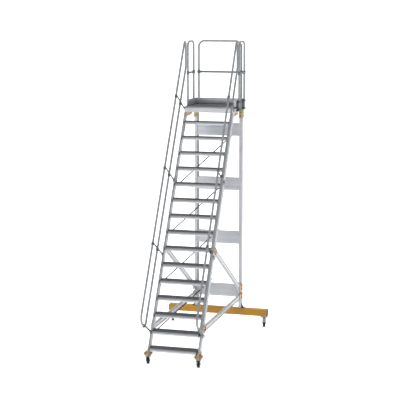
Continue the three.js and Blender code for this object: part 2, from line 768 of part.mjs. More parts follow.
function pedalGeometry({ mountZ }, end) {
  const { y, z } = pedalPivot(mountZ);
  const at = x => new THREE.Vector3(x, y, z);
  const half = wheelHalfWidth - 1;
  const padHalf = half + 8;
  const leverLength = end === 'rear' ? 16 : 46;
  const barrel = rod(at(-half), at(half), 6.5, 10);
  const lever = block(-half, half, y - leverLength, y, z - 3, z + 2.5);
  const pad = runX(polygon(padOutlines[end].map(([dy, dz]) => [y + dy, z + dz])), -padHalf, padHalf);
  const bore = rod(at(-half - 1), at(half + 1), 3.6, 10);
  return cut(joined(barrel, lever, pad), bore);
}

function addCastors() {
  const places = [['front', frontCastor], ['rear', rearCastor]];
  for (const [end, castor] of places) {
    for (const [side, sign] of [['left', -1], ['right', 1]]) {
      const group = new THREE.Group();
      group.position.set(sign * castor.x, castor.y, 0);
      group.rotation.z = castorTurn;
      add(`castor_fork_${end}_${side}`, forkGeometry(castor), zinc, group);
      add(`castor_wheel_${end}_${side}`, wheelGeometry(castor), blackRubber, group);
      add(`brake_pedal_${end}_${side}`, pedalGeometry(castor, end), blackSteel, group);
      model.add(group);
    }
  }
}

addTreads();
addStringers();
addFlightBraces();
addPlatform();
addToeBoards();
addPosts();
addStruts();
addBeam();
addFootCastings();
addHeadBrackets();
addHandrails();
addGuardRails();
addCastors();

// The origin is on the floor, in the middle of the whole stair.
model.updateMatrixWorld(true);
const bounds = new THREE.Box3().setFromObject(model);
model.position.y = -(bounds.min.y + bounds.max.y) / 2;

const group = new THREE.Group();
group.add(model);
export default group;
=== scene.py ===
"""Looks for the mobile platform stair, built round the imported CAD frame. Metres, +Z up."""
import json
import math

import bmesh
import bpy
from mathutils import Matrix, Vector


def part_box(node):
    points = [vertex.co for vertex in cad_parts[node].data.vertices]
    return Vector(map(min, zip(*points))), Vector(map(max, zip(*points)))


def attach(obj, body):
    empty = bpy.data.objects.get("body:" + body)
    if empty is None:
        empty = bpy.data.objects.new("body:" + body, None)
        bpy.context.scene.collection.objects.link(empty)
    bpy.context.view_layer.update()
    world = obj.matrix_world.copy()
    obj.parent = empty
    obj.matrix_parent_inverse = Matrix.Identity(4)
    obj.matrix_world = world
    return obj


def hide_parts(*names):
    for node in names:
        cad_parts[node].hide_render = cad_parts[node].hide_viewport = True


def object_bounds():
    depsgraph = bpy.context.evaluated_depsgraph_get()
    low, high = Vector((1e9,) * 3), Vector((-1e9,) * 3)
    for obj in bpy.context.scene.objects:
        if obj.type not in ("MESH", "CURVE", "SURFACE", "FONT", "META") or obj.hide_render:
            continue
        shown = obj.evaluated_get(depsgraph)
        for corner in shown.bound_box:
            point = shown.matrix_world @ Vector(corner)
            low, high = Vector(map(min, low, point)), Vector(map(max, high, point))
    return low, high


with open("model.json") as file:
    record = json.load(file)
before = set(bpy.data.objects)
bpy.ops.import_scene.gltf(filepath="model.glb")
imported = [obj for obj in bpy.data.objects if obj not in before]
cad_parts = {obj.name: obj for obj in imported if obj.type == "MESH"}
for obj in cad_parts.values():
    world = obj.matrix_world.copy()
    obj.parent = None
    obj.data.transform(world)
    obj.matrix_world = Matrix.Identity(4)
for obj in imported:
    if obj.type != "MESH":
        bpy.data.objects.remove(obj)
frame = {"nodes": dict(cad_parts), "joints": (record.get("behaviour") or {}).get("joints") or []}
cad_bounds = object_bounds()

MM = 0.001
AXIS_X = Vector((1, 0, 0))
AXIS_Y = Vector((0, 1, 0))
AXIS_Z = Vector((0, 0, 1))
SIDES = (("right", 1), ("left", -1))

# ---------- What the frame says ----------
tread_lo, tread_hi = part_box("tread_01")
top_tread_lo, top_tread_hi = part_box("tread_15")
stringer_lo, stringer_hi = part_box("stringer_right")
deck_lo, deck_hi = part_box("platform_deck")
rim_lo, rim_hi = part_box("platform_frame")
post_lo, post_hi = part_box("rear_post_right")
beam_lo, beam_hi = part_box("rear_beam")
toe_lo, toe_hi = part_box("toe_board_right")
toe_rear_lo, toe_rear_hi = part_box("toe_board_rear")
joints = {joint["name"]: joint for joint in frame["joints"]}

nosing = Vector((0, tread_lo.y, tread_hi.z))
ALONG = Vector((0, top_tread_lo.y - tread_lo.y, top_tread_hi.z - tread_hi.z)).normalized()
BEHIND = Vector((0, ALONG.z, -ALONG.y))
slope = math.atan2(ALONG.z, ALONG.y)
tread_depth = tread_hi.y - tread_lo.y
nose_height = tread_hi.z - tread_lo.z
tread_count = sum(name.startswith("tread_") for name in frame["nodes"])


def flight(x, s, p):
    """A point x across the flight, s up its slope and p behind the nosing line."""
    return nosing + AXIS_X * x + ALONG * s + BEHIND * p


def behind(y, z):
    return (Vector((0, y, z)) - nosing).dot(BEHIND)


def flight_y(p, z):
    """y of a line p behind the nosing line, at height z."""
    return nosing.y + (z - nosing.z) / math.tan(slope) + p / math.sin(slope)


stringer_front = behind(stringer_lo.y, stringer_lo.z)
stringer_rear = behind(stringer_hi.y, stringer_hi.z)


def front_y(z):
    return flight_y(stringer_front, z)


def rear_y(z):
    return flight_y(stringer_rear, z)


# ---------- Sizes of the fine detail ----------
RAIL_RADIUS = 16.6 * MM
RAIL_X = 445 * MM
OUTER_RAIL = 440 * MM
INNER_RAIL = 165 * MM
RAIL_END_Y = rim_lo.y + 178.54 * MM
RAIL_TOP_Z = cad_bounds[1].z - 17.5 * MM
CLAMP_RADIUS = 22.5 * MM
ARM_X = rim_hi.x + 0.5 * MM
ARM_THICKNESS = 5.5 * MM
CASTING_OUTER_X = stringer_hi.x + 7 * MM
KNEE_RADIUS = 16 * MM
SOCKET_RADIUS = 19.5 * MM
# Between a fitting and the face it sits on.
SEAT_GAP = 0.3 * MM
# Where the handrail's arms stand, in metres up the slope.
BOTTOM_S = 0.292
ARM_PLACES = (1.572, 2.857, 4.132)

# ---------- Materials ----------
# A low scale along an axis draws the grain out into lines along it.
ALONG_X = (0.03, 1, 1)
ALONG_Y = (1, 0.03, 1)
ALONG_Z = (1, 1, 0.03)
EVEN = (1, 1, 1)
BROAD_SHARE = 0.6
ROUGHNESS_SPREAD = 0.08
COAT_ROUGHNESS = 0.25
RAMP_STOPS = (0.34, 0.62)


def srgb(text):
    def linear(value):
        return value / 12.92 if value <= 0.04045 else ((value + 0.055) / 1.055) ** 2.4
    channels = [int(text[i:i + 2], 16) / 255 for i in (0, 2, 4)]
    return (*[linear(value) for value in channels], 1.0)


def add_node(tree, kind, **sockets):
    """A node with some of its sockets set. A space in a socket's name is written as an underscore."""
    node = tree.nodes.new(kind)
    for socket, value in sockets.items():
        node.inputs[socket.replace("_", " ")].default_value = value
    return node


def material(name, base, shade, metallic, roughness, stretch=EVEN, turn=0.0,
             *, grain, patches, bump, coat=0.0):
    """Two noises over the object: a fine grain that may be drawn out along one axis, and broad patches."""
    made = bpy.data.materials.new(name)
    made.use_nodes = True
    tree = made.node_tree
    link = tree.links.new
    shader = tree.nodes["Principled BSDF"]
    shader.inputs["Metallic"].default_value = metallic
    if coat:
        shader.inputs["Coat Weight"].default_value = coat
        shader.inputs["Coat Roughness"].default_value = COAT_ROUGHNESS
    point = add_node(tree, "ShaderNodeTexCoord").outputs["Object"]
    turned = add_node(tree, "ShaderNodeVectorRotate", Angle=turn)
    turned.rotation_type = "X_AXIS"
    link(point, turned.inputs["Vector"])
    drawn = add_node(tree, "ShaderNodeMapping", Scale=stretch)
    link(turned.outputs["Vector"], drawn.inputs["Vector"])
    fine = add_node(tree, "ShaderNodeTexNoise", Scale=grain, Detail=5, Roughness=0.65)
    link(drawn.outputs["Vector"], fine.inputs["Vector"])
    broad = add_node(tree, "ShaderNodeTexNoise", Scale=patches, Detail=4)
    link(point, broad.inputs["Vector"])
    fine_share = add_node(tree, "ShaderNodeMath")
    fine_share.operation = "MULTIPLY"
    fine_share.inputs[1].default_value = 1 - BROAD_SHARE
    link(fine.outputs["Fac"], fine_share.inputs[0])
    both = add_node(tree, "ShaderNodeMath")
    both.operation = "MULTIPLY_ADD"
    both.inputs[1].default_value = BROAD_SHARE
    link(broad.outputs["Fac"], both.inputs[0])
    link(fine_share.outputs["Value"], both.inputs[2])
    ramp = add_node(tree, "ShaderNodeValToRGB")
    for stop, position, colour in zip(ramp.color_ramp.elements, RAMP_STOPS, (shade, base)):
        stop.position = position
        stop.color = srgb(colour)
    link(both.outputs["Value"], ramp.inputs["Fac"])
    link(ramp.outputs["Color"], shader.inputs["Base Color"])
    rough = add_node(tree, "ShaderNodeMapRange", From_Min=0.3, From_Max=0.7,
                     To_Min=roughness - ROUGHNESS_SPREAD, To_Max=roughness + ROUGHNESS_SPREAD)
    link(both.outputs["Value"], rough.inputs["Value"])
    link(rough.outputs["Result"], shader.inputs["Roughness"])
    relief = add_node(tree, "ShaderNodeBump", Strength=bump, Distance=0.5 * MM)
    link(fine.outputs["Fac"], relief.inputs["Height"])
    link(relief.outputs["Normal"], shader.inputs["Normal"])
    return made


def aluminium(name, stretch, base="b3b5ba", shade="a2a5aa", metallic=0.55, roughness=0.38, turn=0.0):
    """Extruded and anodised, with faint die lines along its length."""
    return material(name, base, shade, metallic, roughness, stretch, turn, grain=420, patches=3, bump=0.12)


def zinc(name, base, shade, patches, roughness=0.42):
    return material(name, base, shade, 0.6, roughness, grain=120, patches=patches, bump=0.1)


def casting(name, base, shade, patches=28, metallic=0.05, roughness=0.42):
    """Lacquered rough metal."""
    return material(name, base, shade, metallic, roughness, grain=260, patches=patches, bump=0.25, coat=0.3)


alu_x = aluminium("aluminium_across", ALONG_X)
alu_y = aluminium("aluminium_deep", ALONG_Y)
alu_z = aluminium("aluminium_upright", ALONG_Z)
alu_z_edge = aluminium("aluminium_upright_edge", ALONG_Z, "9a9da2", "85888d")
# Painted shade: a dark copy of the upright aluminium for the inside of the post channels.
alu_z_inside_painted_shade = aluminium("aluminium_upright_inside_painted_shade", ALONG_Z, "505357", "404347", 0.2)
alu_flight = aluminium("aluminium_flight", ALONG_Y, "b2b4b9", "a0a3a8", turn=-slope)
alu_strut = aluminium("aluminium_strut", EVEN, "bfc1c5", "b0b3b8")
# Painted shade: a darker copy of the strut aluminium for the edge bands of the struts.
alu_strut_painted_shade_edge = aluminium("aluminium_strut_painted_shade_edge", EVEN, "85888c", "6f7276")
alu_tube = aluminium("aluminium_tube", EVEN, "8b8e92", "7b7e82", 0.3, 0.6)
alu_knee = aluminium("aluminium_knee_rail", EVEN, "6c6f73", "5c5f63", 0.3, 0.6)
alu_brace = aluminium("aluminium_rod", EVEN, "383a3e", "2c2e32", 0.2, 0.6)
# Painted shade: the ribbed tops of the treads are coloured dark for the shade in their grooves.
tread_top_painted_shade = aluminium("tread_top_painted_shade", ALONG_X, "6b6d70", "595b5e", 0.4, 0.55)
tread_nose = aluminium("tread_nose", ALONG_X, "8f9194", "7d7f82", 0.5, 0.45)
tread_lip = aluminium("tread_lip", ALONG_X, "bcbec2", "a9abb0")
# Painted shade: the ribbed top of the deck is coloured dark for the shade in its grooves.
deck_top_painted_shade = aluminium("deck_top_painted_shade", ALONG_X, "56585c", "46484c", 0.2, 0.6)
toe_side = aluminium("toe_board_side", ALONG_Y, "b0b4bb", "9ea2a9", 0.5, 0.45)
toe_back = aluminium("toe_board_back", ALONG_X, "c2c5ca", "b0b3b9", 0.5, 0.4)
zinc_dark = zinc("zinc_dark", "6f7676", "565c5d", patches=30)
zinc_plate = zinc("zinc_plate", "6a6f72", "52575a", patches=20)
zinc_pale = zinc("zinc_pale", "a9aeb1", "8d9295", patches=20, roughness=0.4)
zinc_bright = material("zinc_bright", "98a1a3", "7c8587", 0.85, 0.3, grain=90, patches=60, bump=0.08)
bolt_steel = material("bolt_steel", "7a7f82", "5c6164", 0.85, 0.35, grain=200, patches=80, bump=0.05)
bolt_dark = material("bolt_dark", "4c4a44", "33322f", 0.6, 0.4, grain=200, patches=80, bump=0.05)
orange = casting("orange_casting", "c48e4c", "8e6630")
pale_orange = casting("pale_casting", "cda870", "9c7843")
olive = casting("olive_casting", "b5a468", "857548", 24, 0.15)
# Painted shade: a dark copy of the foot casting's colour for the rounded lobes at its sides.
foot_lobe_painted_shade = casting("casting_painted_shade", "8d7a4c", "57462f", 30, 0.15, 0.45)
ochre = material("ochre_paint", "b07e06", "9c6e04", 0.0, 0.6, grain=500, patches=4, bump=0.12)
plastic = material("black_plastic", "2c2e31", "1d1f21", 0.0, 0.5, grain=300, patches=20, bump=0.15)
tread_cap = material("dark_plastic", "303336", "212326", 0.0, 0.5, grain=300, patches=20, bump=0.15)
rubber = material("black_rubber", "0e0f10", "060708", 0.0, 0.7, grain=180, patches=14, bump=0.3)
hub_grey = material("hub_plastic", "4a4d51", "35383b", 0.0, 0.45, grain=200, patches=20, bump=0.1)

# ---------- Mesh building ----------
BEND_STEP = math.radians(5)
TUBE_SIDES = 20


def rounded(points, radius, steps=3):
    """The closed outline with its corners rounded. radius is one number, or one per corner."""
    radii = radius if isinstance(radius, (list, tuple)) else [radius] * len(points)
    outline = []
    for i, point in enumerate(points):
        corner = Vector(point)
        before = Vector(points[i - 1]) - corner
        after = Vector(points[(i + 1) % len(points)]) - corner
        r = radii[i]
        if r <= 0 or before.length < 1e-9 or after.length < 1e-9:
            outline.append(tuple(corner))
            continue
        before.normalize()
        after.normalize()
        half = before.angle(after) / 2
        reach = r / math.tan(half)
        centre = corner + (before + after).normalized() * (r / math.sin(half))
        start = corner + before * reach - centre
        turn = math.pi - 2 * half
        if before.x * after.y - before.y * after.x > 0:
            turn = -turn
        for step in range(steps + 1):
            angle = turn * step / steps
            outline.append((
                centre.x + start.x * math.cos(angle) - start.y * math.sin(angle),
                centre.y + start.x * math.sin(angle) + start.y * math.cos(angle),
            ))
    return outline


def skin(rings):
    """A closed bar over rings of points that have the same count: its sides, then both ends."""
    bm = bmesh.new()
    loops = [[bm.verts.new(point) for point in points] for points in rings]
    for a, b in zip(loops, loops[1:]):
        for k in range(len(a)):
            after = (k + 1) % len(a)
            bm.faces.new((a[k], a[after], b[after], b[k]))
    bm.faces.new(list(reversed(loops[0])))
    bm.faces.new(loops[-1])
    return bm


def circle(centre, u, v, radius, sides):
    angles = [2 * math.pi * k / sides for k in range(sides)]
    return [centre + u * (radius * math.cos(angle)) + v * (radius * math.sin(angle)) for angle in angles]


def prism(outline, origin, u, v, w, length):
    """A closed bar: an outline in the plane of u and v, run along w from origin."""
    near = [origin + u * a + v * b for a, b in outline]
    return skin([near, [point + w * length for point in near]])


def run_x(outline, x0, x1):
    return prism(outline, Vector((x0, 0, 0)), AXIS_Y, AXIS_Z, AXIS_X, x1 - x0)


def run_y(outline, y0, y1):
    return prism(outline, Vector((0, y0, 0)), AXIS_X, AXIS_Z, AXIS_Y, y1 - y0)


def run_z(outline, z0, z1):
    return prism(outline, Vector((0, 0, z0)), AXIS_X, AXIS_Y, AXIS_Z, z1 - z0)


def run_flight(outline, s0, s1):
    """An outline in (x, p), run up the slope."""
    return prism(outline, flight(0, s0, 0), AXIS_X, BEHIND, ALONG, s1 - s0)


def side_of_flight(outline, x0, x1):
    """An outline in (p, s), run across the flight."""
    return prism(outline, flight(x0, 0, 0), BEHIND, ALONG, AXIS_X, x1 - x0)


def rectangle(a0, a1, b0, b1):
    return [(a0, b0), (a1, b0), (a1, b1), (a0, b1)]


def chamfered(a0, a1, b0, b1, cut):
    return [(a0, b0 + cut), (a0 + cut, b0), (a1 - cut, b0), (a1, b0 + cut),
            (a1, b1 - cut), (a1 - cut, b1), (a0 + cut, b1), (a0, b1 - cut)]


def block(x0, x1, y0, y1, z0, z1):
    return run_z(rectangle(x0, x1, y0, y1), z0, z1)


def across(direction):
    """Two unit vectors square to a direction and to each other."""
    helper = AXIS_Z if abs(direction.z) < 0.9 else AXIS_X
    u = direction.cross(helper).normalized()
    return u, direction.cross(u).normalized()


def rod(start, end, radius, sides=24, rim=0.0):
    """A round bar, with its end edges rounded by rim."""
    direction = (end - start).normalized()
    length = (end - start).length
    if rim <= 0:
        profile = [(0, radius), (length, radius)]
    else:
        cut = rim * 0.3
        profile = [(0, radius - rim), (cut, radius - cut), (rim, radius)]
        profile += [(length - rim, radius), (length - cut, radius - cut), (length, radius - rim)]
    u, v = across(direction)
    return skin([circle(start + direction * along, u, v, r, sides) for along, r in profile])


def ring(profile, centre, axis, sides=48):
    """A closed ring: a closed profile of (distance along the axis, radius) turned about the axis."""
    u, v = across(axis)
    bm = bmesh.new()
    loops = []
    for k in range(sides):
        angle = 2 * math.pi * k / sides
        spoke = u * math.cos(angle) + v * math.sin(angle)
        loops.append([bm.verts.new(centre + axis * a + spoke * r) for a, r in profile])
    count = len(profile)
    for k in range(sides):
        a = loops[k]
        b = loops[(k + 1) % sides]
        for i in range(count):
            after = (i + 1) % count
            bm.faces.new((a[i], a[after], b[after], b[i]))
    return bm


def bent_path(corners, radii):
    """Straight runs between corners, with each corner rounded to its own radius."""
    points = [corners[0]]
    for before, corner, after, radius in zip(corners, corners[1:], corners[2:], radii):
        inward = (before - corner).normalized()
        outward = (after - corner).normalized()
        half = inward.angle(outward) / 2
        centre = corner + (inward + outward).normalized() * (radius / math.sin(half))
        start = corner + inward * (radius / math.tan(half)) - centre
        axis = outward.cross(inward).normalized()
        turn = math.pi - 2 * half
        count = max(3, math.ceil(turn / BEND_STEP))
        for i in range(count + 1):
            points.append(centre + Matrix.Rotation(turn * i / count, 3, axis) @ start)
    points.append(corners[-1])
    return points


def swept_tube(points, radius, normal):
    """A round tube along a path that lies in the plane square to normal."""
    rings = []
    for i, point in enumerate(points):
        arriving = (point - points[max(i - 1, 0)]).normalized()
        leaving = (points[min(i + 1, len(points) - 1)] - point).normalized()
        tangent = (arriving + leaving).normalized()
        rings.append(circle(point, normal, tangent.cross(normal).normalized(), radius, TUBE_SIDES))
    return skin(rings)


def join(*parts):
    whole = bmesh.new()
    for part in parts:
        mesh = bpy.data.meshes.new("part")
        part.to_mesh(mesh)
        part.free()
        whole.from_mesh(mesh)
        bpy.data.meshes.remove(mesh)
    return whole


def keep_between(bm, low, high):
    """Cuts a bar level at two heights and closes both cuts."""
    for height, outward in ((low, -AXIS_Z), (high, AXIS_Z)):
        geometry = bm.verts[:] + bm.edges[:] + bm.faces[:]
        result = bmesh.ops.bisect_plane(bm, geom=geometry, plane_co=(0, 0, height), plane_no=outward,
                                        clear_outer=True)
        edges = [item for item in result["geom_cut"] if isinstance(item, bmesh.types.BMEdge)]
        bmesh.ops.contextual_create(bm, geom=edges)
    return bm


def mirrored(bm):
    bmesh.ops.transform(bm, matrix=Matrix.Scale(-1, 4, AXIS_X), verts=bm.verts)
    bmesh.ops.reverse_faces(bm, faces=bm.faces)
    return bm


def bolt(seat, axis, radius, height):
    """A hexagon head on a washer, its seat on the surface and its head along axis."""
    washer = 1.6 * MM
    return join(rod(seat, seat + axis * washer, radius * 1.35, 20, 0.4 * MM),
                rod(seat + axis * washer, seat + axis * (height + washer), radius, 6, 0.8 * MM))


def bolts(seats, axis, radius=8 * MM, height=5 * MM):
    return join(*[bolt(seat, axis, radius, height) for seat in seats])


SHARP = math.radians(32)
EDGE_SEGMENTS = 3
EDGE_ANGLE = math.radians(35)


def smooth_mesh(name, bm, finish, pick=None):
    """The mesh of a piece, smooth over its gentle edges. pick says which finish each face has."""
    bmesh.ops.recalc_face_normals(bm, faces=bm.faces)
    for face in bm.faces:
        face.smooth = True
        if pick:
            face.material_index = pick(face)
    for edge in bm.edges:
        edge.smooth = len(edge.link_faces) == 2 and edge.calc_face_angle(math.pi) < SHARP
    mesh = bpy.data.meshes.new(name)
    bm.to_mesh(mesh)
    bm.free()
    for entry in finish if isinstance(finish, list) else [finish]:
        mesh.materials.append(entry)
    return mesh


def add_object(name, data, where=(0, 0, 0)):
    obj = bpy.data.objects.new(name, data)
    bpy.context.scene.collection.objects.link(obj)
    obj.location = where
    return obj


def fasten(name, mesh, body="root", replaced=(), bevel=0.0, where=(0, 0, 0)):
    """Makes a piece of the mesh and fastens it to its body."""
    obj = add_object(name, mesh, where)
    if bevel:
        edges = obj.modifiers.new("edges", "BEVEL")
        edges.width = bevel
        edges.segments = EDGE_SEGMENTS
        edges.limit_method = "ANGLE"
        edges.angle_limit = EDGE_ANGLE
        edges.harden_normals = True
    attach(obj, body)
    if replaced:
        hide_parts(*replaced)


def place(name, bm, finish, body="root", replaced=(), bevel=0.0, pick=None):
    fasten(name, smooth_mesh(name, bm, finish, pick), body, replaced, bevel)


def pair(name, make, finish, replaced=None, bevel=0.0, pick=None):
    """The same piece on the right and, mirrored, on the left."""
    for side, sign in SIDES:
        bm = make() if sign > 0 else mirrored(make())
        nodes = [f"{replaced}_{side}"] if replaced else []
        place(f"{name}_{side}", bm, finish, replaced=nodes, bevel=bevel, pick=pick)


# ---------- Treads and deck ----------
REAR_LIP = 28 * MM


def ribbed_outline(depth, lip, rear_lip, plate):
    """Nosing with grip lines in front, fine ribs on top, and a lip that hangs down behind."""
    wall = 4 * MM
    rib = 4.6 * MM
    groove = 3.6 * MM
    deep = 2 * MM
    grip_lines = (0.72, 0.5, 0.28)
    outline = [(0, -lip)]
    for share in grip_lines:
        z = -lip * share
        outline += [(0, z - 1.2 * MM), (1.2 * MM, z - 0.6 * MM), (1.2 * MM, z + 0.6 * MM), (0, z + 1.2 * MM)]
    outline += [(0, -3 * MM), (0.9 * MM, -0.9 * MM), (3 * MM, 0)]
    start = 8 * MM
    count = int((depth - 2 * start) / (rib + groove))
    for i in range(count):
        y = start + i * (rib + groove)
        outline += [(y, 0), (y + 0.4 * MM, -deep), (y + groove - 0.4 * MM, -deep), (y + groove, 0)]
    outline += [(depth - 2 * MM, 0), (depth, -2 * MM), (depth, -rear_lip), (depth - wall, -rear_lip)]
    outline += [(depth - wall, -plate), (wall, -plate), (wall, -lip)]
    return outline


def is_nose(face):
    """The nosing is lighter than the ribs, and lightest along its lower edge. The ribs and the rest of the
    piece take the first finish, which is dark with painted shade.
    """
    centre = face.calc_center_median()
    if centre.y > 6 * MM:
        return 0
    return 2 if centre.z < -0.5 * nose_height else 1


def make_treads():
    half = tread_hi.x
    cap_width = 17 * MM
    proud = 0.6 * MM
    outline = ribbed_outline(tread_depth, nose_height, REAR_LIP, 7 * MM)
    cap_outline = rounded([
        (-proud, -nose_height - proud), (12 * MM, -nose_height - proud), (30 * MM, -REAR_LIP - proud),
        (tread_depth + proud, -REAR_LIP - proud), (tread_depth + proud, proud), (-proud, proud),
    ], 3 * MM)
    plate = smooth_mesh("tread_plate_01", run_x(outline, 3 * MM - half, half - 3 * MM),
                        [tread_top_painted_shade, tread_nose, tread_lip], is_nose)
    caps = smooth_mesh("tread_caps_01", join(
        run_x(cap_outline, half - cap_width, half), run_x(cap_outline, -half, cap_width - half),
    ), tread_cap)
    for n in range(1, tread_count + 1):
        node = f"tread_{n:02d}"
        lo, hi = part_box(node)
        corner = Vector((0, lo.y, hi.z))
        fasten(f"tread_plate_{n:02d}", plate, replaced=[node], where=corner)
        fasten(f"tread_caps_{n:02d}", caps, bevel=1 * MM, where=corner)


def make_deck():
    depth = deck_hi.y - deck_lo.y
    lip = deck_hi.z - deck_lo.z
    deck = run_x(ribbed_outline(depth, lip, lip, 8 * MM), deck_lo.x, deck_hi.x)
    mesh = smooth_mesh("deck_plate", deck, [deck_top_painted_shade, tread_nose, tread_lip], is_nose)
    fasten("deck_plate", mesh, replaced=["platform_deck"],
           where=Vector((0, deck_lo.y, deck_hi.z)))


# ---------- Stringers and braces ----------


def make_stringers():
    x0, x1 = stringer_lo.x, stringer_hi.x
    front, rear = stringer_front, stringer_rear
    edge = 24 * MM
    recess = 2 * MM
    slot_x = x1 - 9 * MM
    slot_half = 1.6 * MM
    deep = 3 * MM
    corner = 3 * MM

    def bar():
        points = [
            (x0, front), (slot_x - slot_half, front), (slot_x - slot_half, front + deep),
            (slot_x + slot_half, front + deep), (slot_x + slot_half, front), (x1, front),
            (x1, front + edge), (x1 - recess, front + edge + recess),
            (x1 - recess, rear - edge - recess), (x1, rear - edge),
            (x1, rear), (x0, rear),
        ]
        radii = [corner, 0, 0, 0, 0, corner, 0, 0, 0, 0, corner, corner]
        # Too long at both ends, in metres up the slope, and then cut level.
        long_bar = run_flight(rounded(points, radii), -0.3, 4.4)
        return keep_between(long_bar, stringer_lo.z, stringer_hi.z)
    pair("stringer_bar", bar, alu_flight, "stringer")


def make_flight_braces():
    x = (stringer_lo.x + stringer_hi.x) / 2
    tab = 20 * MM
    tab_rear = 215 * MM
    rod_p = 203 * MM
    rise_per_s = math.sin(slope)
    fall_per_p = math.cos(slope)
    for n in range(1, 5):
        lo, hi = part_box(f"flight_brace_{n}")
        low = (lo.z - nosing.z + tab_rear * fall_per_p) / rise_per_s + tab
        high = (hi.z - nosing.z + stringer_rear * fall_per_p) / rise_per_s - tab
        start = flight(-x, low, rod_p)
        end = flight(x, high, rod_p)
        place(f"brace_rod_{n}", rod(start, end, 8.6 * MM, 16, 1 * MM), alu_brace,
              replaced=[f"flight_brace_{n}"])
        clips = []
        for side, s in ((-1, low), (1, high)):
            outline = rounded([(stringer_rear, s - tab), (tab_rear, s - tab * 0.55),
                               (tab_rear, s + tab * 0.55), (stringer_rear, s + tab)], 3 * MM)
            clips.append(side_of_flight(outline, side * x - 9 * MM, side * x + 9 * MM))
        place(f"brace_clips_{n}", join(*clips), zinc_dark, bevel=1 * MM)


# ---------- Platform ----------


def make_rim():
    """The frame below the deck: grooved side rails, with plain rails across between them."""
    z0, z1 = rim_lo.z, rim_hi.z
    member = 42 * MM
    x1 = rim_hi.x
    groove = 2 * MM
    middle = (z0 + z1) / 2

    def side_rail():
        points = [
            (x1 - member, z0), (x1, z0), (x1, middle - 10 * MM), (x1 - groove, middle - 8 * MM),
            (x1 - groove, middle + 8 * MM), (x1, middle + 10 * MM), (x1, z1), (x1 - member, z1),
        ]
        return run_y(rounded(points, [2 * MM, 2 * MM, 0, 0, 0, 0, 2 * MM, 2 * MM]), rim_lo.y, rim_hi.y)
    pair("deck_side_rail", side_rail, alu_y)
    bays = 3
    depth = rim_hi.y - rim_lo.y
    pitch = (depth - member) / bays
    for n in range(bays + 1):
        y0 = rim_lo.y + n * pitch
        outline = rounded(rectangle(y0, y0 + member, z0, z1), 2 * MM)
        nodes = ["platform_frame"] if n == 0 else []
        rail = run_x(outline, -x1 + member - 1 * MM, x1 - member + 1 * MM)
        place(f"deck_cross_rail_{n + 1}", rail, alu_x, replaced=nodes)
    # A thin plate covers the joints between the front rail and the side rails.
    trim = block(-x1, x1, rim_lo.y - 0.2 * MM, rim_lo.y + 1.5 * MM, z0 + 0.5 * MM, z1 - 0.5 * MM)
    place("deck_front_trim", trim, alu_x)


def make_toe_boards():
    bead = 14 * MM
    recess = 4 * MM
    z0, z1 = toe_lo.z, toe_hi.z
    corner = 1.5 * MM
    radii = [corner, corner, 0, 0, 0, 0, corner, corner]

    def section(inner, outer):
        away = recess if outer > inner else -recess
        return rounded([
            (inner, z0), (outer, z0), (outer, z0 + bead), (outer - away, z0 + bead + recess),
            (outer - away, z1 - bead - recess), (outer, z1 - bead), (outer, z1), (inner, z1),
        ], radii)
    pair("toe_plank", lambda: run_y(section(toe_lo.x, toe_hi.x), toe_lo.y, toe_hi.y), toe_side,
         "toe_board")
    board = run_x(section(toe_rear_lo.y, toe_rear_hi.y), toe_rear_lo.x, toe_rear_hi.x)
    place("toe_plank_rear", board, toe_back, replaced=["toe_board_rear"])


# ---------- Rear frame ----------


def make_posts():
    x0, x1 = post_lo.x, post_hi.x
    y0, y1 = post_lo.y, post_hi.y
    wall = 4 * MM
    lip = 9 * MM
    corner = 3 * MM
    groove = 1.2 * MM

    def channel():
        points = [
            (x0, y0), (x1, y0), (x1, y0 + 18 * MM), (x1 - groove, y0 + 19 * MM), (x1 - groove, y1 - 19 * MM),
            (x1, y1 - 18 * MM), (x1, y1), (x0, y1), (x0, y1 - lip), (x0 + 2 * MM, y1 - lip),
            (x0 + 2 * MM, y1 - wall), (x1 - wall, y1 - wall), (x1 - wall, y0 + wall),
            (x0 + 2 * MM, y0 + wall), (x0 + 2 * MM, y0 + lip), (x0, y0 + lip),
        ]
        radii = [1 * MM, corner, 0, 0, 0, 0, corner, 1 * MM] + [0] * 8
        return run_z(rounded(points, radii), post_lo.z, post_hi.z)

    def which(face):
        """The bands beside the groove in the outer face are darker, and the inside of the channel is darker
        still: painted shade.
        """
        centre = face.calc_center_median()
        x = abs(centre.x)
        skin_depth = 0.7 * wall
        if x > x1 - 0.5 * groove:
            return 1
        inside = x0 + 1 * MM < x < x1 - skin_depth and y0 + skin_depth < centre.y < y1 - skin_depth
        return 2 if inside else 0
    pair("post_channel", channel, [alu_z, alu_z_edge, alu_z_inside_painted_shade], "rear_post", pick=which)

    def foot():
        """A bent plate that ties the post's foot to the beam, with a gusset on the outer side."""
        z = beam_hi.z
        plate = 5 * MM
        base = block(x1, x1 + 52 * MM, y0 + 8 * MM, y1 - 8 * MM, z, z + plate)
        upright = block(x1 + 0.2 * MM, x1 + plate, y0 + 8 * MM, y1 - 8 * MM, z, z + 78 * MM)
        middle = (y0 + y1) / 2
        web = prism([(0, 0), (44 * MM, 0), (0, 62 * MM)], Vector((x1 + 2 * MM, middle - 3 * MM, z + 2 * MM)),
                    AXIS_X, AXIS_Z, AXIS_Y, 6 * MM)
        return join(base, upright, web)
    pair("post_foot_angle", foot, zinc_dark, bevel=1 * MM)

    def foot_bolts():
        y = (y0 + y1) / 2
        z = beam_hi.z + 5 * MM
        low = bolts([Vector((x1 + 34 * MM, y + d, z)) for d in (-14 * MM, 14 * MM)], AXIS_Z, 6 * MM, 5 * MM)
        high = bolts([Vector((x1 + 5 * MM, y + d, z + 48 * MM)) for d in (-14 * MM, 14 * MM)],
                     AXIS_X, 6 * MM, 5 * MM)
        return join(low, high)
    pair("post_foot_bolts", foot_bolts, bolt_steel)


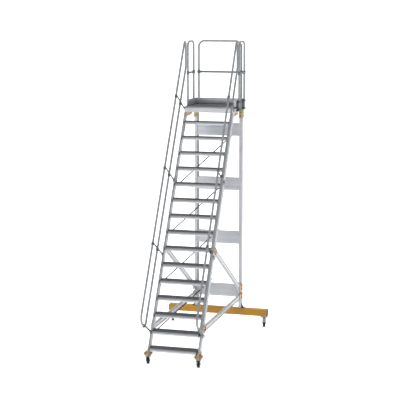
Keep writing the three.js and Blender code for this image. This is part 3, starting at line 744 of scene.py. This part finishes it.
def make_panels():
    groove_heights = (0.29, 0.71)
    bolt_inset = 0.2
    for n in range(1, 5):
        lo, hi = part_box(f"cross_panel_{n}")
        height = hi.z - lo.z
        depth = 2.5 * MM
        points = [(lo.y, lo.z)]
        for share in groove_heights:
            z = lo.z + height * share
            points += [(lo.y, z - 5 * MM), (lo.y + depth, z - 3 * MM),
                       (lo.y + depth, z + 3 * MM), (lo.y, z + 5 * MM)]
        points += [(lo.y, hi.z), (hi.y, hi.z), (hi.y, lo.z)]
        radii = [2 * MM] + [0] * 8 + [2 * MM] * 3
        place(f"panel_board_{n}", run_x(rounded(points, radii), lo.x, hi.x), alu_x,
              replaced=[f"cross_panel_{n}"])
        places = [(sign * (post_lo.x + 24 * MM), z) for sign in (-1, 1)
                  for z in (lo.z + height * bolt_inset, hi.z - height * bolt_inset)]
        heads = join(bolts([Vector((x, post_lo.y, z)) for x, z in places], -AXIS_Y, 5.5 * MM, 4 * MM),
                     bolts([Vector((x, post_hi.y, z)) for x, z in places], AXIS_Y, 5.5 * MM, 4 * MM))
        place(f"panel_bolts_{n}", heads, bolt_steel)


def make_beam():
    bottom = joints["castor_rear_right_swivels"]["pos_m"][2] + 8 * MM
    cap = 7 * MM
    tube = rounded(rectangle(beam_lo.y, beam_hi.y, bottom, beam_hi.z), 8 * MM, 5)
    x = beam_hi.x - cap
    place("beam_tube", run_x(tube, -x, x), ochre, replaced=["rear_beam"])
    proud = rounded(rectangle(beam_lo.y, beam_hi.y, bottom, beam_hi.z), 9 * MM, 5)
    start = x - 0.5 * MM
    ends = join(run_x(proud, -beam_hi.x, -start), run_x(proud, start, beam_hi.x))
    place("beam_end_caps", ends, plastic, bevel=1.5 * MM)


# ---------- Struts ----------
STRUT_HEIGHT = 91 * MM
CASTING_SKIN = 12 * MM
SHOE_LENGTH = 100 * MM
LUG_HALF = 57 * MM
LUG_CORNER = 20 * MM
LUG_REAR = stringer_rear + 50 * MM
# Each strut's axis meets the stringer at s up the slope and the post at height z. Its castings have
# their own places beside it, and half is half the height of the one on the post. Metres.
STRUTS = {
    "upper": {"s": 1.697, "z": 0.627, "fitting_s": 1.697, "fitting_z": 0.668, "half": 60 * MM},
    "lower": {"s": 0.406, "z": 0.513, "fitting_s": 0.413, "fitting_z": 0.518, "half": 54 * MM},
}


def strut_bar(s, z):
    """Two raised edge bands with a recessed web, mitred to the stringer and to the post."""
    x0, x1 = stringer_lo.x + 1.5 * MM, stringer_hi.x
    recess = 4 * MM
    edge = STRUT_HEIGHT * 0.27
    half = STRUT_HEIGHT / 2
    start = flight(0, s, stringer_rear - 4 * MM)
    end = Vector((0, post_lo.y - 1 * MM, z))
    along = (end - start).normalized()
    up = AXIS_X.cross(along)
    points = [
        (x0, -half), (x1, -half), (x1, edge - half), (x1 - recess, edge - half + 2 * MM),
        (x1 - recess, half - edge - 2 * MM), (x1, half - edge), (x1, half), (x0, half),
        (x0, half - edge), (x0 + recess, half - edge - 2 * MM), (x0 + recess, edge - half + 2 * MM),
        (x0, edge - half),
    ]
    corner = 2.5 * MM
    outline = rounded(points, [corner, corner, 0, 0, 0, 0, corner, corner, 0, 0, 0, 0])
    return prism(outline, start - along * 20 * MM, AXIS_X, up, along, (end - start).length + 20 * MM)


def stringer_socket(s, x0, x1):
    """The part of the casting behind the stringer, which holds the strut's end."""
    front = stringer_rear + 0.5 * MM
    outline = [
        (front, s - LUG_HALF), (LUG_REAR - LUG_CORNER, s - LUG_HALF), (LUG_REAR, s - LUG_HALF + LUG_CORNER),
        (LUG_REAR, s + LUG_HALF - LUG_CORNER), (LUG_REAR - LUG_CORNER, s + LUG_HALF), (front, s + LUG_HALF),
    ]
    return side_of_flight(outline, x0, x1)


def stringer_lug(s):
    """The outer plate of the casting on the stringer, with its socket."""
    plate = chamfered(stringer_front + 5 * MM, LUG_REAR, s - LUG_HALF, s + LUG_HALF, LUG_CORNER)
    return join(side_of_flight(plate, stringer_hi.x + SEAT_GAP, CASTING_OUTER_X),
                stringer_socket(s, stringer_hi.x - CASTING_SKIN, CASTING_OUTER_X))


def post_socket(z, half, x0, x1):
    return block(x0, x1, post_lo.y - SHOE_LENGTH, post_lo.y - 0.5 * MM, z - half, z + half)


def post_shoe(z, half):
    plate = block(post_hi.x + SEAT_GAP, CASTING_OUTER_X, post_lo.y - 30 * MM, post_hi.y - 6 * MM,
                  z - half, z + half)
    return join(post_socket(z, half, stringer_hi.x - CASTING_SKIN, CASTING_OUTER_X), plate)


def is_strut_painted_shade_band(face):
    """The raised bands of either side, painted darker than the web between them: painted shade along the
    bar's edges.
    """
    across_bar = abs(face.calc_center_median().x)
    return 1 if across_bar > stringer_hi.x - 1 * MM or across_bar < stringer_lo.x + 2 * MM else 0


def make_struts():
    inner = stringer_lo.x
    skin = stringer_hi.x - CASTING_SKIN - SEAT_GAP
    for level, strut in STRUTS.items():
        s = strut["fitting_s"]
        z = strut["fitting_z"]
        half = strut["half"]
        pair(f"strut_{level}_bar", lambda: strut_bar(strut["s"], strut["z"]), [alu_strut, alu_strut_painted_shade_edge],
             f"strut_{level}", pick=is_strut_painted_shade_band)
        pair(f"strut_{level}_lug", lambda: stringer_lug(s), orange, bevel=3 * MM)
        pair(f"strut_{level}_shoe", lambda: post_shoe(z, half), orange, bevel=3 * MM)
        # On the inner side both castings are lined with a plain aluminium block.
        pair(f"strut_{level}_lining", lambda: join(
            stringer_socket(s, inner, skin), post_socket(z, half, inner, skin),
        ), alu_strut, bevel=2 * MM)

        def fixing():
            x = CASTING_OUTER_X
            on_stringer = [flight(x, s + d, stringer_front + 48 * MM) for d in (-26 * MM, 26 * MM)]
            y = post_lo.y + 24 * MM
            on_post = [Vector((x, y, z + d)) for d in (-30 * MM, 30 * MM)]
            return join(bolts(on_stringer, AXIS_X, 9 * MM, 7 * MM), bolts(on_post, AXIS_X, 10 * MM, 9 * MM))
        pair(f"strut_{level}_bolts", fixing, bolt_dark)


# ---------- Castings at the foot and head ----------


def make_foot_castings():
    for side, sign in SIDES:
        joint = joints[f"castor_front_{side}_swivels"]["pos_m"]
        x, y, mount = abs(joint[0]), joint[1], joint[2]
        wall = 14 * MM
        lip_top = stringer_lo.z + 16 * MM
        socket_z = mount + 50 * MM
        base_z = mount + 6 * MM
        gap = 0.6 * MM
        floor = stringer_lo.z - SEAT_GAP
        cup = [
            (y - 42 * MM, base_z), (y + 42 * MM, base_z), (rear_y(socket_z) + wall, socket_z),
            (rear_y(lip_top) + wall, lip_top), (rear_y(lip_top) + gap, lip_top), (rear_y(floor) + gap, floor),
            (front_y(floor) - gap, floor), (front_y(lip_top) - gap, lip_top),
            (front_y(lip_top) - wall, lip_top), (front_y(socket_z) - wall, socket_z),
        ]
        cheek = [
            (front_y(socket_z) - wall, socket_z), (rear_y(socket_z) + wall, socket_z),
            (rear_y(lip_top) + wall, lip_top), (front_y(lip_top) - wall, lip_top),
        ]
        body = join(run_x(cup, stringer_lo.x, CASTING_OUTER_X),
                    run_x(cheek, stringer_hi.x + SEAT_GAP, CASTING_OUTER_X))
        centres = [Vector((x + along, y, mount + 32 * MM)) for along in (-33 * MM, 33 * MM)]
        reach = AXIS_Y * 40 * MM
        lobes = join(*[rod(centre - reach, centre + reach, 31 * MM, 28, 5 * MM) for centre in centres])
        bosses = join(*[rod(centre - reach - AXIS_Y * 2.5 * MM, centre - reach + AXIS_Y * MM,
                            17 * MM, 24, 1 * MM) for centre in centres])
        caps = bolts([Vector((centre.x, y - 42.5 * MM, centre.z)) for centre in centres], -AXIS_Y)
        plate = castor_plate(Vector((x, y, mount)), 8 * MM)
        for bm, name, finish, slot, bevel in (
            (body, "foot_cup", pale_orange, "yellow_casting", 3 * MM),
            # The lobes are the same casting as the cup, coloured darker as painted shade.
            (lobes, "foot_lobes", foot_lobe_painted_shade, "yellow_casting", 0.0),
            (bosses, "foot_bosses", pale_orange, "yellow_casting", 0.0),
            (caps, "foot_bolts", bolt_dark, "black_steel", 0.0),
            (plate, "castor_plate_front", zinc_bright, "zinc", 1 * MM),
        ):
            bm = bm if sign > 0 else mirrored(bm)
            nodes = [f"foot_casting_{side}"] if name == "foot_cup" else []
            place(f"{name}_{side}", bm, finish, replaced=nodes, bevel=bevel)


def castor_plate(mount, thickness, half=46 * MM):
    outline = rounded(rectangle(mount.x - half, mount.x + half, mount.y - half, mount.y + half), 9 * MM)
    plate = run_z(outline, mount.z, mount.z + thickness)
    pin = rod(mount - AXIS_Z * 20 * MM, mount + AXIS_Z * 1 * MM, 11 * MM, 24)
    nut = rod(mount - AXIS_Z * 20 * MM, mount - AXIS_Z * 16 * MM, 16.5 * MM, 6, 1 * MM)
    return join(plate, pin, nut)


def make_rear_castor_plates():
    for side, _ in SIDES:
        mount = Vector(joints[f"castor_rear_{side}_swivels"]["pos_m"])
        plate = castor_plate(mount, 8 * MM, 58 * MM)
        place(f"castor_plate_rear_{side}", plate, zinc_bright, bevel=1 * MM)
        inset = 48 * MM
        corners = [mount + Vector((dx, dy, 0)) for dx in (-inset, inset) for dy in (-inset, inset)]
        place(f"castor_plate_bolts_{side}", bolts(corners, -AXIS_Z, 5.5 * MM, 4 * MM), bolt_steel)


def make_head_brackets():
    top = stringer_hi.z
    length = 225 * MM
    depth = 66 * MM
    edge = 48 * MM
    bottom = top - depth
    leaf_outer = stringer_lo.x - 0.4 * MM
    leaf_inner = stringer_lo.x - 12 * MM

    def back(z):
        return rear_y(z) + 0.6 * MM
    far = back(top) + length
    taper = back(bottom) + length / 2

    def gusset():
        """A web behind the stringer, and a leaf that laps the stringer's inner face."""
        lap = stringer_front + 5 * MM
        web = rounded([(back(top), top), (far, top), (far, top - edge), (taper, bottom),
                       (back(bottom), bottom)], [0, 3 * MM, 8 * MM, 12 * MM, 3 * MM])
        leaf = rounded([(flight_y(lap, top), top), (far, top), (far, top - edge), (taper, bottom),
                        (flight_y(lap, bottom), bottom)], [3 * MM, 3 * MM, 8 * MM, 12 * MM, 6 * MM])
        return join(run_x(web, leaf_outer - 0.2 * MM, stringer_hi.x), run_x(leaf, leaf_inner, leaf_outer))
    pair("stringer_gusset", gusset, orange, "stringer_head_bracket", bevel=2.5 * MM)

    def gusset_bolts():
        places = [(back(top) + 60 * MM, top - 26 * MM), (back(top) + 150 * MM, top - 26 * MM)]
        outer = bolts([Vector((stringer_hi.x, y, z)) for y, z in places], AXIS_X)
        inner = bolts([Vector((leaf_inner, y, z)) for y, z in places], -AXIS_X)
        return join(outer, inner)
    pair("stringer_gusset_bolts", gusset_bolts, bolt_dark)

    def corner():
        plate = 12 * MM
        inner = post_lo.x - 6 * MM
        outline = [
            (inner, post_lo.y - plate), (post_hi.x + plate, post_lo.y - plate),
            (post_hi.x + plate, post_hi.y), (post_hi.x + SEAT_GAP, post_hi.y),
            (post_hi.x + SEAT_GAP, post_lo.y - SEAT_GAP), (inner, post_lo.y - SEAT_GAP),
        ]
        return run_z(rounded(outline, [2 * MM, 6 * MM, 2 * MM, 0, 0, 0]), post_hi.z - 135 * MM, post_hi.z)
    pair("post_knee", corner, olive, "post_head_bracket", bevel=1.5 * MM)

    def corner_bolts():
        z = post_hi.z
        side = [Vector((post_hi.x + 12 * MM, (post_lo.y + post_hi.y) / 2, z - d)) for d in (38 * MM, 98 * MM)]
        front = [Vector(((post_lo.x + post_hi.x) / 2, post_lo.y - 12 * MM, z - d))
                 for d in (38 * MM, 98 * MM)]
        return join(bolts(side, AXIS_X), bolts(front, -AXIS_Y))
    pair("post_knee_bolts", corner_bolts, bolt_dark)


# ---------- Rails ----------


def clamp(centre, direction, outward, length=50 * MM):
    """A split clamp round a tube: two shells with a rounded rim, and a screwed seam on each side."""
    half = direction * (length / 2)
    shell = rod(centre - half, centre + half, CLAMP_RADIUS, 28, 2 * MM)
    u = direction.cross(outward).normalized()
    ears = []
    for sign in (-1, 1):
        origin = centre + u * (sign * (CLAMP_RADIUS + 2.5 * MM)) - direction * (length * 0.36)
        ears.append(prism(rectangle(-3.5 * MM, 3.5 * MM, -5 * MM, 5 * MM), origin, u, outward, direction,
                          length * 0.72))
    return join(shell, *ears)


def arm(s, p0, p1):
    half = 15 * MM
    outline = rounded([(p0, s - half), (p1, s - half), (p1, s + half), (p0, s + half)],
                      [14 * MM, 3 * MM, 3 * MM, 14 * MM], 5)
    plate = side_of_flight(outline, ARM_X, ARM_X + ARM_THICKNESS)
    rib = side_of_flight(rectangle(p0 + 16 * MM, p1 - 4 * MM, s - 5 * MM, s + 5 * MM),
                         ARM_X + ARM_THICKNESS - 1 * MM, ARM_X + ARM_THICKNESS + 3 * MM)
    return join(plate, rib)


def arm_foot(s):
    half = 28 * MM
    front = stringer_front + 8 * MM
    rear = stringer_rear + 6 * MM
    outline = rounded([(front, s - half), (rear, s - half), (rear, s + half), (front, s + half)], 8 * MM)
    return side_of_flight(outline, ARM_X, ARM_X + 17 * MM)


def foot_screws(s):
    x = ARM_X + 17 * MM
    return bolts([flight(x, s, p) for p in (stringer_front + 28 * MM, stringer_rear - 14 * MM)],
                 AXIS_X, 7 * MM, 4 * MM)


def make_handrails():
    bottom_bend = (OUTER_RAIL - INNER_RAIL) / 2
    knee_bend = 90 * MM
    seam = -(OUTER_RAIL + INNER_RAIL) / 2 + 60 * MM

    def corner_z(offset):
        return nosing.z + (RAIL_END_Y - nosing.y) * math.tan(slope) + offset / math.cos(slope)
    inner_corner = Vector((RAIL_X, RAIL_END_Y, corner_z(INNER_RAIL)))
    outer_corner = Vector((RAIL_X, RAIL_END_Y, corner_z(OUTER_RAIL)))
    half_top = (math.pi / 2 - slope) / 2
    top_bend = (outer_corner.z - RAIL_TOP_Z) / (1 / math.tan(half_top) - 1)

    def loop():
        path = bent_path(
            [flight(RAIL_X, BOTTOM_S, seam - 1 * MM), flight(RAIL_X, BOTTOM_S, -INNER_RAIL), inner_corner,
             outer_corner, flight(RAIL_X, BOTTOM_S, -OUTER_RAIL), flight(RAIL_X, BOTTOM_S, seam + 1 * MM)],
            [bottom_bend - 62 * MM, knee_bend, top_bend, bottom_bend])
        return swept_tube(path, RAIL_RADIUS, AXIS_X)
    pair("handrail_tube", loop, alu_tube, "handrail")

    def arms():
        parts = [arm(BOTTOM_S, seam - 20 * MM, stringer_rear)]
        for s in ARM_PLACES:
            on_platform = s == ARM_PLACES[-1]
            parts.append(arm(s, -OUTER_RAIL - 10 * MM, 95 * MM if on_platform else stringer_rear))
        return join(*parts)
    pair("handrail_arms", arms, zinc_dark, bevel=0.8 * MM)

    footed = (BOTTOM_S, *ARM_PLACES[:-1])
    pair("handrail_feet", lambda: join(*[arm_foot(s) for s in footed]), zinc_pale, bevel=2 * MM)
    pair("handrail_screws", lambda: join(*[foot_screws(s) for s in footed]), bolt_dark)

    def clamps():
        parts = [clamp(flight(RAIL_X, BOTTOM_S, seam), BEHIND, AXIS_X, 56 * MM)]
        for s in ARM_PLACES:
            parts.append(clamp(flight(RAIL_X, s, -OUTER_RAIL), ALONG, AXIS_X))
            parts.append(clamp(flight(RAIL_X, s, -INNER_RAIL), ALONG, AXIS_X, 56 * MM))
        return join(*parts)
    pair("handrail_clamps", clamps, zinc_dark, bevel=0.6 * MM)


def guard_frame(foot_a, foot_b, bend, normal):
    def top(foot):
        return Vector((foot.x, foot.y, RAIL_TOP_Z))
    path = bent_path([foot_a, top(foot_a), top(foot_b), foot_b], [bend, bend])
    return swept_tube(path, RAIL_RADIUS, normal)


def make_guard_rails():
    knee_z = deck_hi.z + 541 * MM
    foot_z = rim_lo.z + 10.3 * MM
    clamp_low = rim_lo.z + 36 * MM
    clamp_high = deck_hi.z + 70 * MM
    side_y = [deck_lo.y + 302.54 * MM, deck_lo.y + 655.54 * MM]
    rear_x = 374 * MM
    rear_y = deck_hi.y + 22.5 * MM
    side_feet = [Vector((RAIL_X, y, foot_z)) for y in side_y]
    rear_feet = [Vector((sign * rear_x, rear_y, foot_z)) for sign in (-1, 1)]

    def at(foot, z):
        return Vector((foot.x, foot.y, z))
    pair("side_guard_tube", lambda: guard_frame(*side_feet, 95 * MM, AXIS_X), alu_tube,
         "guard_rail")
    place("rear_guard_tube", guard_frame(*rear_feet, 100 * MM, AXIS_Y), alu_tube,
          replaced=["guard_rail_rear"])
    pair("side_knee_tube", lambda: rod(*[at(foot, knee_z) for foot in side_feet], KNEE_RADIUS, 20), alu_knee)
    place("rear_knee_tube", rod(*[at(foot, knee_z) for foot in rear_feet], KNEE_RADIUS, 20), alu_knee)

    def frame_clamps(feet, inward, seam):
        """The clamps of one frame, with a socket at each end of its knee rail."""
        parts = []
        for foot, way in zip(feet, (inward, -inward)):
            knee = at(foot, knee_z)
            parts.append(clamp(knee, AXIS_Z, seam, 58 * MM))
            parts.append(rod(knee + way * 14 * MM, knee + way * 52 * MM, SOCKET_RADIUS, 24, 1.5 * MM))
            parts += [clamp(at(foot, z), AXIS_Z, AXIS_Y, 44 * MM) for z in (clamp_low, clamp_high)]
        return join(*parts)
    pair("side_guard_clamps", lambda: frame_clamps(side_feet, AXIS_Y, AXIS_X), zinc_dark,
         bevel=0.6 * MM)
    place("rear_guard_clamps", frame_clamps(rear_feet, AXIS_X, AXIS_Y), zinc_dark, bevel=0.6 * MM)

    def side_plate():
        plate = rectangle(side_y[0] - 60 * MM, side_y[1] + 20 * MM, rim_lo.z + 1 * MM, toe_hi.z)
        return run_x(rounded(plate, 6 * MM), ARM_X, ARM_X + ARM_THICKNESS)
    pair("side_guard_plate", side_plate, zinc_plate, bevel=0.8 * MM)

    bolt_heights = (rim_lo.z + 36 * MM, deck_hi.z + 60 * MM)

    def side_plate_bolts():
        seats = [Vector((ARM_X + ARM_THICKNESS, y, z))
                 for y in (side_y[0] + 60 * MM, side_y[1] - 60 * MM) for z in bolt_heights]
        return bolts(seats, AXIS_X)
    pair("side_plate_bolts", side_plate_bolts, bolt_dark)
    plates = []
    for sign in (-1, 1):
        x = sign * rear_x
        outline = rounded(rectangle(x - 45 * MM, x + 45 * MM, rim_lo.z, toe_hi.z - 5 * MM), 6 * MM)
        plates.append(run_y(outline, deck_hi.y + SEAT_GAP, deck_hi.y + SEAT_GAP + ARM_THICKNESS))
    place("rear_guard_plates", join(*plates), zinc_plate, bevel=0.8 * MM)
    seats = [Vector((sign * rear_x + dx, deck_hi.y + SEAT_GAP + ARM_THICKNESS, z))
             for sign in (-1, 1) for dx in (-32 * MM, 32 * MM) for z in bolt_heights]
    place("rear_plate_bolts", bolts(seats, AXIS_Y, 6.5 * MM, 4.5 * MM), bolt_dark)


# ---------- Castors ----------
WHEEL_HALF = 22 * MM
TRAIL = 34 * MM
# The rear brake pedal hangs down in front of its wheel. Outline in millimetres from its pin.
HOOD = [(-12, 2.5), (-40, -4), (-58, -26), (-64, -64), (-60, -65), (-54, -28), (-38, -9), (-12, -3)]


def make_castor(end, side, splay):
    key = f"{end}_{side}"
    swivel = joints[f"castor_{key}_swivels"]["pos_m"]
    roll = joints[f"castor_{key}_rolls"]
    lift = joints[f"brake_{key}_lifts"]["pos_m"]
    across_wheel = Vector(roll["axis"]).normalized()
    ahead = AXIS_Z.cross(across_wheel)
    mount = swivel[2]
    radius = roll["pos_m"][2]
    local = Matrix((across_wheel, ahead, AXIS_Z)).transposed().to_4x4()
    local.translation = Vector((swivel[0], swivel[1], 0))

    def put(name, bm, finish, body, replaced=(), bevel=0.0):
        bmesh.ops.transform(bm, matrix=local, verts=bm.verts)
        place(f"{name}_{key}", bm, finish, body=f"castor_{key}_{body}", replaced=replaced, bevel=bevel)

    def at(x, y, z):
        return Vector((x, y, z))
    top = mount - 0.6 * MM
    head_low = top - 9 * MM
    crown_low = head_low - 5 * MM
    race = ring([(crown_low, 13 * MM), (top, 13 * MM), (top, 29 * MM), (top - 2 * MM, 33 * MM),
                 (head_low + 1 * MM, 34 * MM), (crown_low, 31 * MM)], at(0, 0, 0), AXIS_Z)
    put("castor_race", race, zinc_bright, "swivel", [f"castor_fork_{key}"])
    plate_x = WHEEL_HALF + 3 * MM
    wide = plate_x + splay + 4 * MM
    crown = run_z(rounded(rectangle(-wide, wide, -30 * MM, 27 * MM), 9 * MM, 5), crown_low, head_low)
    put("castor_crown", crown, zinc_bright, "swivel", bevel=1.5 * MM)
    eye = 15 * MM
    outline = [(27 * MM, head_low), (27 * MM, head_low - 14 * MM), (-TRAIL + eye, radius + 4 * MM)]
    for step in range(13):
        angle = -math.pi * step / 12
        outline.append((-TRAIL + eye * math.cos(angle), radius + eye * math.sin(angle)))
    outline += [(-TRAIL - 20 * MM, head_low - 20 * MM), (-TRAIL - 20 * MM, head_low)]
    eye_low = radius - eye
    lean = splay / (head_low - eye_low)
    cheeks = []
    for sign in (-1, 1):
        near, far = sorted((sign * plate_x, sign * (plate_x + 4 * MM)))
        cheek = run_x(rounded(outline, [4 * MM, 10 * MM, 0] + [0] * 13 + [6 * MM, 4 * MM]), near, far)
        for vert in cheek.verts:
            vert.co.x += sign * lean * (vert.co.z - eye_low)
        cheeks.append(cheek)
    put("castor_cheeks", join(*cheeks), zinc_bright, "swivel", bevel=1.2 * MM)
    cheek_outer = plate_x + 4 * MM + lean * eye
    axle_end = cheek_outer + 6 * MM
    nut_end = cheek_outer + 5 * MM
    nut_start = cheek_outer - 0.5 * MM
    axle = join(
        rod(at(-axle_end, -TRAIL, radius), at(axle_end, -TRAIL, radius), 5.5 * MM, 20, 0.8 * MM),
        rod(at(nut_start, -TRAIL, radius), at(nut_end, -TRAIL, radius), 9.5 * MM, 6, 1 * MM),
        rod(at(-nut_end, -TRAIL, radius), at(-nut_start, -TRAIL, radius), 9.5 * MM, 6, 1 * MM))
    put("castor_axle", axle, bolt_steel, "swivel")
    pivot_y = -TRAIL - 14 * MM
    pivot_z = lift[2]
    reach = plate_x + splay + 3 * MM
    pin = rod(at(-reach, pivot_y, pivot_z), at(reach, pivot_y, pivot_z), 3 * MM, 16, 0.5 * MM)
    put("brake_pin", pin, bolt_steel, "swivel")

    shoulder = 7 * MM
    rim = radius - 15 * MM
    half = WHEEL_HALF
    tyre = rounded([(-half, rim), (-half, radius), (half, radius), (half, rim)],
                   [1 * MM, shoulder, shoulder, 1 * MM], 6)
    centre = at(0, -TRAIL, radius)
    put("castor_tyre", ring(tyre, centre, AXIS_X, 64), rubber, "wheel",
        [f"castor_wheel_{key}"])
    web = 8 * MM
    hub = [(-half, 6.4 * MM), (-half, 16 * MM), (-web, 18 * MM), (-web, rim - 5 * MM),
           (-half + 3 * MM, rim + 1 * MM), (half - 3 * MM, rim + 1 * MM), (web, rim - 5 * MM),
           (web, 18 * MM), (half, 16 * MM), (half, 6.4 * MM)]
    put("castor_hub", ring(hub, centre, AXIS_X, 48), hub_grey, "wheel")

    lever_half = WHEEL_HALF - 1 * MM
    pad_half = lever_half + 8 * MM

    def from_pin(points):
        return [(pivot_y + y * MM, pivot_z + z * MM) for y, z in points]
    barrel = ring([(-lever_half, 3.6 * MM), (-lever_half, 6.5 * MM), (lever_half, 6.5 * MM),
                   (lever_half, 3.6 * MM)], at(0, pivot_y, pivot_z), AXIS_X, 24)
    node = [f"brake_pedal_{key}"]
    if end == "rear":
        lever = run_x(rounded(from_pin([(-16, -3), (-5, -3), (-5, 2.5), (-16, 2.5)]), 1 * MM),
                      -lever_half, lever_half)
        hood = run_x(rounded(from_pin(HOOD), [0, 8 * MM, 14 * MM, 2 * MM, 2 * MM, 14 * MM, 8 * MM, 0]),
                     -pad_half, pad_half)
        put("brake_hood", join(barrel, lever, hood), zinc_bright, "pedal", node, bevel=1 * MM)
        return
    lever = run_x(rounded(from_pin([(-57.5, -4), (-5, -3), (-5, 3), (-40, 4), (-57.5, 3)]), 2 * MM),
                  -lever_half, lever_half)
    pad = run_x(rounded(from_pin([(-57.5, -4.4), (-40, -4.4), (-40, 3.2), (-57.5, 3.2)]), 2 * MM),
                -pad_half, pad_half)
    ribs = [run_x(from_pin(rectangle(y - 1.2, y + 1.2, 0, 4.4)), -pad_half + 2 * MM, pad_half - 2 * MM)
            for y in (-43, -48, -53)]
    put("brake_lever", join(barrel, lever, pad, *ribs), plastic, "pedal", node)


make_treads()
make_deck()
make_stringers()
make_flight_braces()
make_rim()
make_toe_boards()
make_posts()
make_panels()
make_beam()
make_struts()
make_foot_castings()
make_rear_castor_plates()
make_head_brackets()
make_handrails()
make_guard_rails()
for castor_side, _ in SIDES:
    make_castor("front", castor_side, 12 * MM)
    make_castor("rear", castor_side, 32 * MM)

# ---------- Stage ----------
FLOOR_REACH = 1500.0
FLOOR_GLOW = 0.5
WORLD_STRENGTH = 1.0
WORLD_BEHIND = 0.9
WORLD_HORIZON = 1.2
WORLD_ZENITH = 1.0
WORLD_STEPS = ((0.02, 1.2), (0.05, 0.65), (0.3, 0.25), (0.65, 0.28))
LIGHT_TARGET = (0, 0, 2.2)
LIGHT_SIZE = 6
LIGHTS = (("key", (-8, -12, 5), 370), ("fill", (10, -9, 5), 265), ("rim", (3, 10, 9), 250))
OVERHEAD_ENERGY = 2.3
OVERHEAD_ANGLE = math.radians(70)
OVERHEAD_DIRECTION = (0.2, -0.4, -1)
SENSOR_WIDTH = 36
LENS = 113.4
CAMERA_PLACE = (5.5426, -19.3664, 5.5607)
CAMERA_TURN = (math.radians(81.065), 0, math.radians(15.786))


def make_stage():
    bm = bmesh.new()
    bmesh.ops.create_grid(bm, x_segments=1, y_segments=1, size=FLOOR_REACH)
    mesh = bpy.data.meshes.new("floor")
    bm.to_mesh(mesh)
    bm.free()
    floor = add_object("floor", mesh)
    white = bpy.data.materials.new("floor_white")
    white.use_nodes = True
    shader = white.node_tree.nodes["Principled BSDF"]
    shader.inputs["Base Color"].default_value = (0.98, 0.98, 0.98, 1)
    shader.inputs["Roughness"].default_value = 0.9
    # A little light of its own washes out the shadows, as a lit studio table does.
    shader.inputs["Emission Color"].default_value = (1, 1, 1, 1)
    shader.inputs["Emission Strength"].default_value = FLOOR_GLOW
    mesh.materials.append(white)
    world = bpy.data.worlds.new("studio")
    world.use_nodes = True
    nodes = world.node_tree.nodes
    links = world.node_tree.links
    # The studio is white at the horizon and straight above, and dimmer in between.
    direction = nodes.new("ShaderNodeTexCoord")
    parts = nodes.new("ShaderNodeSeparateXYZ")
    links.new(direction.outputs["Generated"], parts.inputs["Vector"])
    height = nodes.new("ShaderNodeValToRGB")
    stops = height.color_ramp.elements
    stops[0].color = (WORLD_HORIZON, WORLD_HORIZON, WORLD_HORIZON, 1)
    stops[1].color = (WORLD_ZENITH, WORLD_ZENITH, WORLD_ZENITH, 1)
    for position, grey in WORLD_STEPS:
        stops.new(position).color = (grey, grey, grey, 1)
    links.new(parts.outputs["Z"], height.inputs["Fac"])
    depth = add_node(world.node_tree, "ShaderNodeMapRange", From_Min=-1, From_Max=1,
                     To_Min=WORLD_STRENGTH, To_Max=WORLD_STRENGTH * WORLD_BEHIND)
    links.new(parts.outputs["Y"], depth.inputs["Value"])
    background = nodes["Background"]
    links.new(height.outputs["Color"], background.inputs["Color"])
    links.new(depth.outputs["Result"], background.inputs["Strength"])
    bpy.context.scene.world = world
    bpy.context.scene.view_settings.view_transform = "Standard"


def hang(name, light, direction, where=(0, 0, 0)):
    lamp = add_object(name, light, where)
    lamp.rotation_mode = "QUATERNION"
    lamp.rotation_quaternion = direction.to_track_quat("-Z", "Y")


def make_lights():
    for name, where, power in LIGHTS:
        light = bpy.data.lights.new(name, "AREA")
        light.shape = "SQUARE"
        light.size = LIGHT_SIZE
        light.energy = power
        hang(name, light, Vector(LIGHT_TARGET) - Vector(where), where)
    # A wide soft light from above and slightly behind, even over the whole floor.
    light = bpy.data.lights.new("overhead", "SUN")
    light.energy = OVERHEAD_ENERGY
    light.angle = OVERHEAD_ANGLE
    hang("overhead", light, Vector(OVERHEAD_DIRECTION))


def make_camera():
    data = bpy.data.cameras.new("camera")
    data.sensor_width = SENSOR_WIDTH
    data.lens = LENS
    data.clip_end = 4000
    camera = add_object("camera", data, CAMERA_PLACE)
    camera.rotation_euler = CAMERA_TURN
    bpy.context.scene.camera = camera


make_stage()
make_lights()
make_camera()
